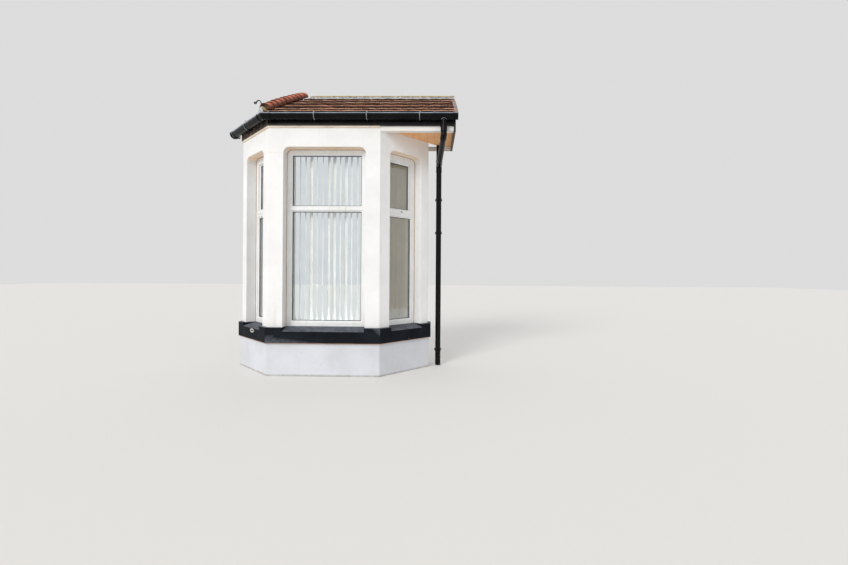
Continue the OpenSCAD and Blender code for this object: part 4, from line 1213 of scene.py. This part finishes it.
# mortar: a rough dark brown core under the bonnets, and the paler filling of the foot
core = roof["bonnetRadius"] - roof["tileThick"] - roof["coreGap"]
for name, start, end, radius, across, material in (
        ("hipMortarBed", roof["bonnetBack"] + 0.006, hipRun - 0.02, core, 0, darkBrownMortar),
        ("hipMortarFoot", roof["mortarStart"], roof["bonnetBack"] + 0.03, core * roof["mortarShare"],
         roof["mortarAcross"], hipMortar)):
    bm = bmesh.new()
    middle = Matrix.Translation(((start + end) / 2, across, -roof["bonnetSink"]))
    addDisc(bm, middle @ Matrix.Rotation(math.pi / 2, 4, "Y"), radius, end - start, 48)
    bmesh.ops.transform(bm, matrix=hipPlace, verts=bm.verts)
    for point, normal in underSlopes():
        cutAway(bm, point, normal)
    cutAway(bm, *wallCut)
    bmesh.ops.triangulate(bm, faces=bm.faces)
    bmesh.ops.subdivide_edges(bm, edges=[e for e in bm.edges if e.calc_length() > 0.03], cuts=3,
                              use_grid_fill=True)
    for v in bm.verts:
        v.co += v.normal * (noise.noise(v.co * 60) * 0.004 - 0.001)
    bmesh.ops.recalc_face_normals(bm, faces=bm.faces)
    addPiece(name, bm, [material], smooth=60)

# hip iron: a flat bar that rises out of the mortar, hooks over to the left and ends in a small scroll
iron = {
    "start": [(-0.715, 3.352), (-0.748, 3.372)],
    "y": -0.885,
    "x": -0.797,
    "z": 3.402,
    "hook": 0.030,
    "scroll": 0.014,
    "bar": 0.0056,
    "width": 2.0,
}
bm = bmesh.new()
points = list(iron["start"])
for step in range(9):
    angle = math.radians(-15 + step * 24)
    points.append((iron["x"] + iron["hook"] * math.cos(angle), iron["z"] + iron["hook"] * math.sin(angle)))
lastX, lastZ = points[-1]
for step in range(1, 9):
    angle = math.radians(-step * 40)
    points.append((lastX - iron["scroll"] + iron["scroll"] * math.cos(angle) * (1 - step * 0.05),
                   lastZ + iron["scroll"] * math.sin(angle) * (1 - step * 0.05)))
addTube(bm, [(x, 0, z) for x, z in points], iron["bar"], sides=8)
bmesh.ops.scale(bm, vec=(1, iron["width"], 1), verts=bm.verts)
bmesh.ops.translate(bm, vec=(0, iron["y"], 0), verts=bm.verts)
addPiece("hipIron", bm, [ironPaint], smooth=50)
print("roof done")

# Lead: an apron in lapped lengths over the top course, and soakers with steps on the left
lead = {
    "thick": 0.003,
    "apron": 0.115,
    "upstand": 0.020,
    "start": hipHead.x + roof["bonnetRadius"] + 0.010,
    "pieceLength": 0.72,
    "lap": 0.09,
    "stepRise": 0.075,
    "lift": 0.0022,
    "wallGap": 0.0012,
    "sway": 0.0012,
    "bed": 0.0048,
    "ripple": 0.0045,
    "ragged": 0.004,
    "stiffEdge": 0.06,
    "sideBed": 0.0045,
    "sideRipple": 0.004,
    "plateOut": 0.0035,
    "plateShift": 0.0012,
    "plateLap": 0.006,
    "plateFoot": 0.002,
    "sheetShare": 0.8,
    "plateShare": 0.6,
}
wallZ = roofZ(-bay["depth"])


def leftZ(x, y):
    d = -(x + bay["frontHalf"]) * math.sin(cantAngle) - (y + bay["depth"]) * math.cos(cantAngle)
    return roofZ(d, "left")


def thicken(bm, verts, thickness):
    faces = list({f for v in verts for f in v.link_faces})
    bmesh.ops.solidify(bm, geom=faces, thickness=thickness)


bm = bmesh.new()
x = lead["start"]
number = 0
while x < roofEnd - 0.05:
    end = min(x + lead["pieceLength"] + lead["lap"], roofEnd)
    sheet = bmesh.ops.create_grid(bm, x_segments=int((end - x) / 0.018), y_segments=10, size=0.5)["verts"]
    lift = lead["lift"] * (number % 2)
    for v in sheet:
        along = x + (v.co.x + 0.5) * (end - x)
        down = (v.co.y + 0.5) * (lead["upstand"] + lead["apron"])
        if down < lead["upstand"]:
            sway = noise.noise(Vector((along * 5, number, 0))) * lead["sway"]
            out = -lead["thick"] - lift - lead["wallGap"] + sway
            v.co = (along, out, wallZ + lead["upstand"] - down)
        else:
            out = (down - lead["upstand"]) * math.cos(bay["pitch"])
            edge = min(1.0, out / lead["stiffEdge"])
            ripple = noise.noise(Vector((along * 11, out * 9, number))) * lead["ripple"] * edge
            ragged = noise.noise(Vector((along * 7, 3, number))) * lead["ragged"] * edge
            height = bowed(out - bay["depth"]) + lead["bed"] + lift + abs(ripple)
            v.co = (along, -out - ragged, height)
    thicken(bm, sheet, lead["thick"] * lead["sheetShare"])
    x += lead["pieceLength"]
    number += 1

lowX = -halfWidth - bay["eavesOver"]
highX = hipHead.x - roof["bonnetRadius"] - 0.010
sheet = bmesh.ops.create_grid(bm, x_segments=40, y_segments=8, size=0.5)["verts"]
for v in sheet:
    along = lowX + (v.co.x + 0.5) * (highX - lowX)
    out = (v.co.y + 0.5) * lead["apron"]
    ripple = abs(noise.noise(Vector((along * 12, out * 12, 8)))) * lead["sideRipple"]
    v.co = (along, -out - 0.001, leftZ(along, -out) + lead["sideBed"] + ripple)
thicken(bm, sheet, lead["thick"] * lead["sheetShare"])
stepLength = lead["stepRise"] / (math.tan(bay["leftPitch"]) * math.sin(cantAngle))
x = highX
number = 0
while x > lowX + 0.02:
    end = max(x - stepLength, lowX)
    top = leftZ(x, 0) + lead["upstand"]
    out = -lead["plateOut"] - lead["plateShift"] * (number % 2)
    start = x + lead["plateLap"]
    corners = [bm.verts.new(p) for p in ((start, out, top), (end, out, top),
                                         (end, out, leftZ(end, 0) + lead["plateFoot"]),
                                         (start, out, leftZ(x, 0) + lead["plateFoot"]))]
    plate = bm.faces.new(corners)
    drawn = bmesh.ops.extrude_face_region(bm, geom=[plate], use_keep_orig=True)["geom"]
    bmesh.ops.translate(bm, vec=(0, lead["thick"] * lead["plateShare"], 0), verts=onlyVerts(drawn))
    x = end
    number += 1
closeUp(bm)
addPiece("leadFlashing", bm, [leadSheet], ["wall_flashing"], smooth=45)

# the saddle: a tongue of lead dressed down from the iron over the corner of the tiles
saddle = {
    "top": 3.362,
    "low": 3.262,
    "apex": 0.008,
    "foot": 0.036,
    "flare": 1.3,
    "middle": -0.766,
    "y": -0.880,
    "leftward": 0.016,
    "outward": 0.010,
    "fold": 0.35,
    "crease": 0.005,
}
bm = bmesh.new()
sheet = bmesh.ops.create_grid(bm, x_segments=12, y_segments=12, size=0.5)["verts"]
for v in sheet:
    fall = 0.5 - v.co.y
    half = saddle["apex"] + (saddle["foot"] - saddle["apex"]) * min(1, fall * saddle["flare"])
    across = v.co.x * half
    crease = noise.noise(Vector((across * 40, fall * 5, 2))) * saddle["crease"]
    v.co = (saddle["middle"] + across * 2 - saddle["leftward"] * fall,
            saddle["y"] - crease + abs(across) * saddle["fold"] - saddle["outward"] * fall,
            saddle["top"] - (saddle["top"] - saddle["low"]) * fall)
thicken(bm, sheet, lead["thick"] * lead["sheetShare"])
closeUp(bm)
addPiece("hipSaddle", bm, [leadSheet], smooth=60)

# sanded pointing along the top of the lead, where it is let into the wall
bm = bmesh.new()
top = wallZ + lead["upstand"]
addBlock(bm, (lead["start"] + 0.02, -0.007, top - 0.004), (roofEnd, 0, top + 0.010), soft=0.003, steps=2)
bmesh.ops.subdivide_edges(bm, edges=[e for e in bm.edges if e.calc_length() > 0.5], cuts=90)
for v in bm.verts:
    v.co.z += noise.noise(v.co * 21) * 0.004
    v.co.y += noise.noise(v.co * 34) * 0.002 if v.co.y < -0.001 else 0
addPiece("leadPointing", bm, [hipMortar], smooth=40)
print("lead done")

# Eaves: fascias, strip, beam, a boarded soffit and its moulding
eaves = {"boardWidth": 0.096, "boardGap": 0.0035, "ease": 0.002}
for name, node, material, slot in (
        ("fasciaFront", "fascia_front", fasciaPaint, "black_paint"),
        ("fasciaLeft", "fascia_left", flakedBoard, "black_paint"),
        ("vergeBoard", "verge_board", fasciaPaint, "black_paint"),
        ("endBoard", "end_board", fasciaPaint, "black_paint"),
        ("eavesStrip", "eaves_strip", stripPaint, "soffit_cream"),
        ("eavesBeam", "eaves_beam", beamPaint, "soffit_cream")):
    dressNodes(name, [node], [material], eaves["ease"], smooth=35)

low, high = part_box("soffit_right")
bm = bmesh.new()
draw = random.Random(3)
x = bay["frontHalf"] + 0.01
while x < high.x:
    dip = draw.uniform(0, 0.0012)
    end = x + eaves["boardWidth"] - eaves["boardGap"]
    addBlock(bm, (x, low.y, low.z - 0.0004 + dip), (end, high.y, high.z), soft=0.003, steps=1)
    x += eaves["boardWidth"]
# tongues close the joints from above
addBlock(bm, (bay["frontHalf"], low.y, low.z + 0.008), (high.x, high.y, high.z - 0.004))
cutAway(bm, (high.x, 0, 0), (1, 0, 0))
beamPlane = frontCorner(1, 0) + Vector((0.0008, 0, 0))
cutAway(bm, beamPlane, (-math.sin(cantAngle), math.cos(cantAngle), 0))
addPiece("soffitBoards", bm, [soffitBounceTan], ["soffit_right"], smooth=30)

low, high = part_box("soffit_trim")
bm = bmesh.new()
for back, foot, top, soft, steps in (
        (0.010, low.z, high.z, 0.002, 2),
        (0.003, high.z - 0.034, high.z - 0.018, 0.004, 3),
        (0, high.z - 0.016, high.z, 0.003, 3),
        (0.006, low.z, low.z + 0.008, 0.003, 3)):
    addBlock(bm, (low.x, low.y + back, foot), (high.x, high.y, top), soft=soft, steps=steps)
addPiece("soffitMoulding", bm, [beamPaint], ["soffit_trim"], smooth=40)
print("eaves done")

# Gutter: half-round channel with a bead on its rim, clipped into brackets, fittings lapped over the joints
gutter = {
    "radius": 0.054,
    "wall": 0.003,
    "side": 0.017,
    "middle": 0.079,
    "centreZ": rimZ - 0.017,
    "fitting": 0.0575,
    "collar": 0.0635,
    "pastEnd": 0.095,
    "cornerLeg": 0.080,
    "bracketWidth": 0.026,
    "clip": 0.008,
    "bead": 0.0065,
    "brackets": (-0.095, 0.557, 1.209),
    "outletX": halfWidth + 0.150 + 0.043,
    "outletLength": 0.236,
    "pipeRadius": 0.038,
    "capThick": 0.004,
    "collarHalf": 0.009,
    "outletCollarHalf": 0.007,
    "plate": 0.003,
    "plateFoot": 0.058,
    "ribShare": 0.35,
    "spigotFlare": 0.007,
}
gutterCorner = frontCorner(-1, gutter["middle"])
gutterEnd = Vector((-(halfWidth + gutter["middle"]), -(bay["returnDepth"] + gutter["middle"] * mitre), 0))
leftRun = (gutterCorner - gutterEnd).length + gutter["pastEnd"]
channelPlace = {
    "front": Matrix.Translation((0, gutterCorner.y, gutter["centreZ"])),
    "left": Matrix.Translation((gutterCorner.x, gutterCorner.y, gutter["centreZ"]))
    @ Matrix.Rotation(-cantAngle, 4, "Z"),
}


def addChannel(bm, start, end, radius, wall, rise, place):
    # a half round with straight sides, its section spun and then drawn out along x
    part = bmesh.new()
    first = [part.verts.new((0, radius - wall, 0)), part.verts.new((0, radius, 0))]
    rim = part.edges.new(first)
    spun = bmesh.ops.spin(part, geom=first + [rim], cent=(0, 0, 0), axis=(1, 0, 0), angle=-math.pi,
                          steps=20, use_duplicate=False)["geom_last"]
    lastRim = next(e for e in spun if isinstance(e, bmesh.types.BMEdge))
    for edge in (rim, lastRim):
        raised = bmesh.ops.extrude_edge_only(part, edges=[edge])["geom"]
        bmesh.ops.translate(part, vec=(0, 0, rise), verts=onlyVerts(raised))
    drawn = bmesh.ops.extrude_face_region(part, geom=part.faces[:], use_keep_orig=True)["geom"]
    bmesh.ops.translate(part, vec=(end - start, 0, 0), verts=onlyVerts(drawn))
    closeUp(part)
    addPart(bm, part, place @ Matrix.Translation((start, 0, 0)))


def addSleeve(bm, start, end, outer, lift, place):
    # a fitting or a collar that lies round the channel
    addChannel(bm, start, end, outer, outer - gutter["radius"], gutter["side"] + lift, place)


def addCap(bm, x, radius, rise, thick, place):
    # a stop end: a half disc with straight sides
    part = bmesh.new()
    addDisc(part, Matrix.Rotation(math.pi / 2, 4, "Y"), radius, thick, 40)
    for v in part.verts:
        if v.co.z > 0.0001:
            v.co.z = rise
            v.co.y = math.copysign(radius, v.co.y)
    closeUp(part)
    addPart(bm, part, place @ Matrix.Translation((x, 0, 0)))


def boreOut(bm, place, radius, depth):
    # takes a round hole out of the piece
    mesh = bpy.data.meshes.new("bored")
    bm.to_mesh(mesh)
    bm.free()
    body = bpy.data.objects.new("bored", mesh)
    cutter = bmesh.new()
    addDisc(cutter, place, radius, depth, 40)
    cutterMesh = bpy.data.meshes.new("cutter")
    cutter.to_mesh(cutterMesh)
    cutter.free()
    tool = bpy.data.objects.new("cutter", cutterMesh)
    for holder in (body, tool):
        bpy.context.scene.collection.objects.link(holder)
    modifier = body.modifiers.new("bore", "BOOLEAN")
    modifier.operation = "DIFFERENCE"
    modifier.solver = "EXACT"
    modifier.object = tool
    bpy.context.view_layer.update()
    done = body.evaluated_get(bpy.context.evaluated_depsgraph_get()).to_mesh()
    result = bmesh.new()
    result.from_mesh(done)
    body.to_mesh_clear()
    for holder in (body, tool):
        bpy.data.objects.remove(holder)
    return result


g = gutter
cornerPlan = Vector((gutterCorner.x, gutterCorner.y, 0))
outletSpot = Matrix.Translation((g["outletX"], gutterCorner.y, g["centreZ"] - g["radius"]))


def addGutter(bm, start, end, which, side):
    # a channel and the bead along its rim, each cut at the mitre and closed before they come together
    place = channelPlace[which]
    for shape in ("channel", "bead"):
        part = bmesh.new()
        if shape == "channel":
            addChannel(part, start, end, g["radius"], g["wall"], g["side"], place)
        else:
            ends = (start + 0.0005, end - 0.0005)
            addTube(part, [place @ Vector((x, -g["radius"] + 0.003, g["side"])) for x in ends], g["bead"],
                    sides=12)
        cutAway(part, cornerPlan, side)
        closeUp(part)
        addPart(bm, part)


bm = bmesh.new()
addGutter(bm, gutterCorner.x - 0.06, roofEnd, "front", -mitreNormal)
addCap(bm, roofEnd - 0.002, g["radius"] + 0.002, g["side"] + 0.002, g["capThick"], channelPlace["front"])
bm = boreOut(bm, outletSpot, g["pipeRadius"] - g["wall"], 0.06)
addPiece("gutterFront", bm, [gutterPlastic], ["gutter_front"], smooth=35)

bm = bmesh.new()
addGutter(bm, -leftRun, 0.06, "left", mitreNormal)
addCap(bm, -leftRun + 0.002, g["collar"] + 0.001, g["side"] + 0.002, g["capThick"], channelPlace["left"])
addSleeve(bm, -leftRun + 0.001, -leftRun + 0.022, g["collar"], 0.002, channelPlace["left"])
addPiece("gutterLeft", bm, [gutterPlastic], ["gutter_left"], smooth=35)

bm = bmesh.new()
for which, reach, side in (("front", (-0.06, g["cornerLeg"]), -mitreNormal),
                           ("left", (-g["cornerLeg"], 0.06), mitreNormal)):
    part = bmesh.new()
    place = channelPlace[which]
    if which == "front":
        place = place @ Matrix.Translation((gutterCorner.x, 0, 0))
    addSleeve(part, reach[0], reach[1], g["fitting"], 0.001, place)
    outerEnd = reach[1] if which == "front" else reach[0]
    addSleeve(part, outerEnd - g["collarHalf"], outerEnd + g["collarHalf"], g["collar"], 0.003, place)
    cutAway(part, cornerPlan, side)
    closeUp(part)
    addPart(bm, part)
addPiece("gutterCorner", bm, [gutterPlastic], ["gutter_angle"], smooth=35)

# brackets: a band under the gutter, a lip over its rim, a plate on the fascia and a rib below
bm = bmesh.new()
spots = [("front", x) for x in g["brackets"]] + [("left", -leftRun / 2), ("left", -leftRun + 0.060)]
for which, x in spots:
    place = channelPlace[which]
    half = g["bracketWidth"] / 2
    addSleeve(bm, x - half, x + half, g["fitting"], 0.001, place)
    addBlock(bm, (x - half, -g["fitting"] - 0.001, g["side"] - 0.004),
             (x + half, -g["radius"] + 0.008, g["side"] + 0.0045), place, soft=0.0015)
    addBlock(bm, (x - half, g["radius"], -g["plateFoot"]), (x + half, g["radius"] + g["plate"], g["side"]),
             place, soft=0.001)
    addBlock(bm, (x - half * g["ribShare"], -0.012, -g["fitting"] - 0.007),
             (x + half * g["ribShare"], g["radius"], -g["fitting"] + 0.006), place, soft=0.001)
addPiece("gutterBrackets", bm, [gutterPlastic], ["gutter_brackets"], smooth=35)

# a pale metal clip at the left edge of each bracket, its pale face a painted highlight on the bracket's
# edge
bm = bmesh.new()
for which, x in spots:
    place = channelPlace[which]
    left = x - g["bracketWidth"] / 2
    addChannel(bm, left, left + g["clip"], g["fitting"] + 0.0012, 0.0012, g["side"] + 0.003, place)
    addBlock(bm, (left, -g["fitting"] - 0.0012, g["side"] + 0.002),
             (left + g["clip"] * 1.6, -g["radius"] + 0.012, g["side"] + 0.0062), place, soft=0.001)
addPiece("gutterHighlightClips", bm, [clipHighlightMetal], smooth=35)

bm = bmesh.new()
half = g["outletLength"] / 2
addSleeve(bm, g["outletX"] - half, g["outletX"] + half, g["fitting"], 0.001, channelPlace["front"])
for x in (g["outletX"] - half, g["outletX"] + half):
    addSleeve(bm, x - g["outletCollarHalf"], x + g["outletCollarHalf"], g["collar"], 0.003,
              channelPlace["front"])
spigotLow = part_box("gutter_outlet")[0].z
spigotHigh = g["centreZ"] - g["radius"] + 0.012
addDisc(bm, Matrix.Translation((g["outletX"], gutterCorner.y, (spigotHigh + spigotLow) / 2)),
        g["pipeRadius"] + g["spigotFlare"], spigotHigh - spigotLow, 40, foot=g["pipeRadius"] - 0.0004)
bm = boreOut(bm, outletSpot, g["pipeRadius"] - g["wall"], 0.40)
closeUp(bm)
addPiece("gutterOutlet", bm, [gutterPlastic], ["gutter_outlet"], smooth=35)
print("gutter done")

# Downpipe: offset pipe, branch, pipe and clips with their screws
pipe = {
    "x": halfWidth + 0.150,
    "y": -0.075,
    "ringRadius": 0.0435,
    "ringHeight": 0.009,
    "neckRingHeight": 0.010,
    "neckRingDrop": 0.006,
    "screw": 0.0055,
    "screwHeight": 0.003,
    "screwOut": 0.0065,
    "screwSide": 0.037,
    "screwHeights": (0.210, 1.885, 2.360),
}
for name, node in (("offsetPipe", "swan_neck"), ("pipeBranch", "pipe_branch"), ("downPipe", "downpipe")):
    bm = nodeCopy([node])
    tidyFaces(bm)
    softenEdges(bm, 0.0008, steps=1, sharper=40)
    bmesh.ops.dissolve_degenerate(bm, dist=0.00005, edges=bm.edges)
    bmesh.ops.holes_fill(bm, edges=[e for e in bm.edges if e.is_boundary], sides=0)
    bmesh.ops.delete(bm, geom=[v for v in bm.verts if not v.link_faces], context="VERTS")
    closeUp(bm)
    addPiece(name, bm, [pipePlastic], [node], smooth=38)

bm = bmesh.new()
low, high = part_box("pipe_branch")
for z in (low.z + 0.005, high.z - 0.005):
    middle = Matrix.Translation((pipe["x"], pipe["y"], z))
    addDisc(bm, middle, pipe["ringRadius"], pipe["ringHeight"], 48)
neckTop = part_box("swan_neck")[1].z
middle = Matrix.Translation((g["outletX"], gutterCorner.y, neckTop - pipe["neckRingDrop"]))
addDisc(bm, middle, pipe["ringRadius"], pipe["neckRingHeight"], 48)
softenEdges(bm, 0.0015)
addPiece("socketRings", bm, [pipePlastic], smooth=38)

dressNodes("pipeClips", ["pipe_brackets"], [pipePlastic], 0.0015, sharper=40, smooth=38)
bm = bmesh.new()
for z in pipe["screwHeights"]:
    for side in (-1, 1):
        head = Matrix.Translation((pipe["x"] + side * pipe["screwSide"], -pipe["screwOut"], z))
        addDisc(bm, head @ Matrix.Rotation(math.pi / 2, 4, "X"), pipe["screw"] * 0.7,
                pipe["screwHeight"], 20, foot=pipe["screw"])
softenEdges(bm, 0.0004, steps=1)
addPiece("clipScrews", bm, [screwMetal], smooth=40)
print("pipe done")
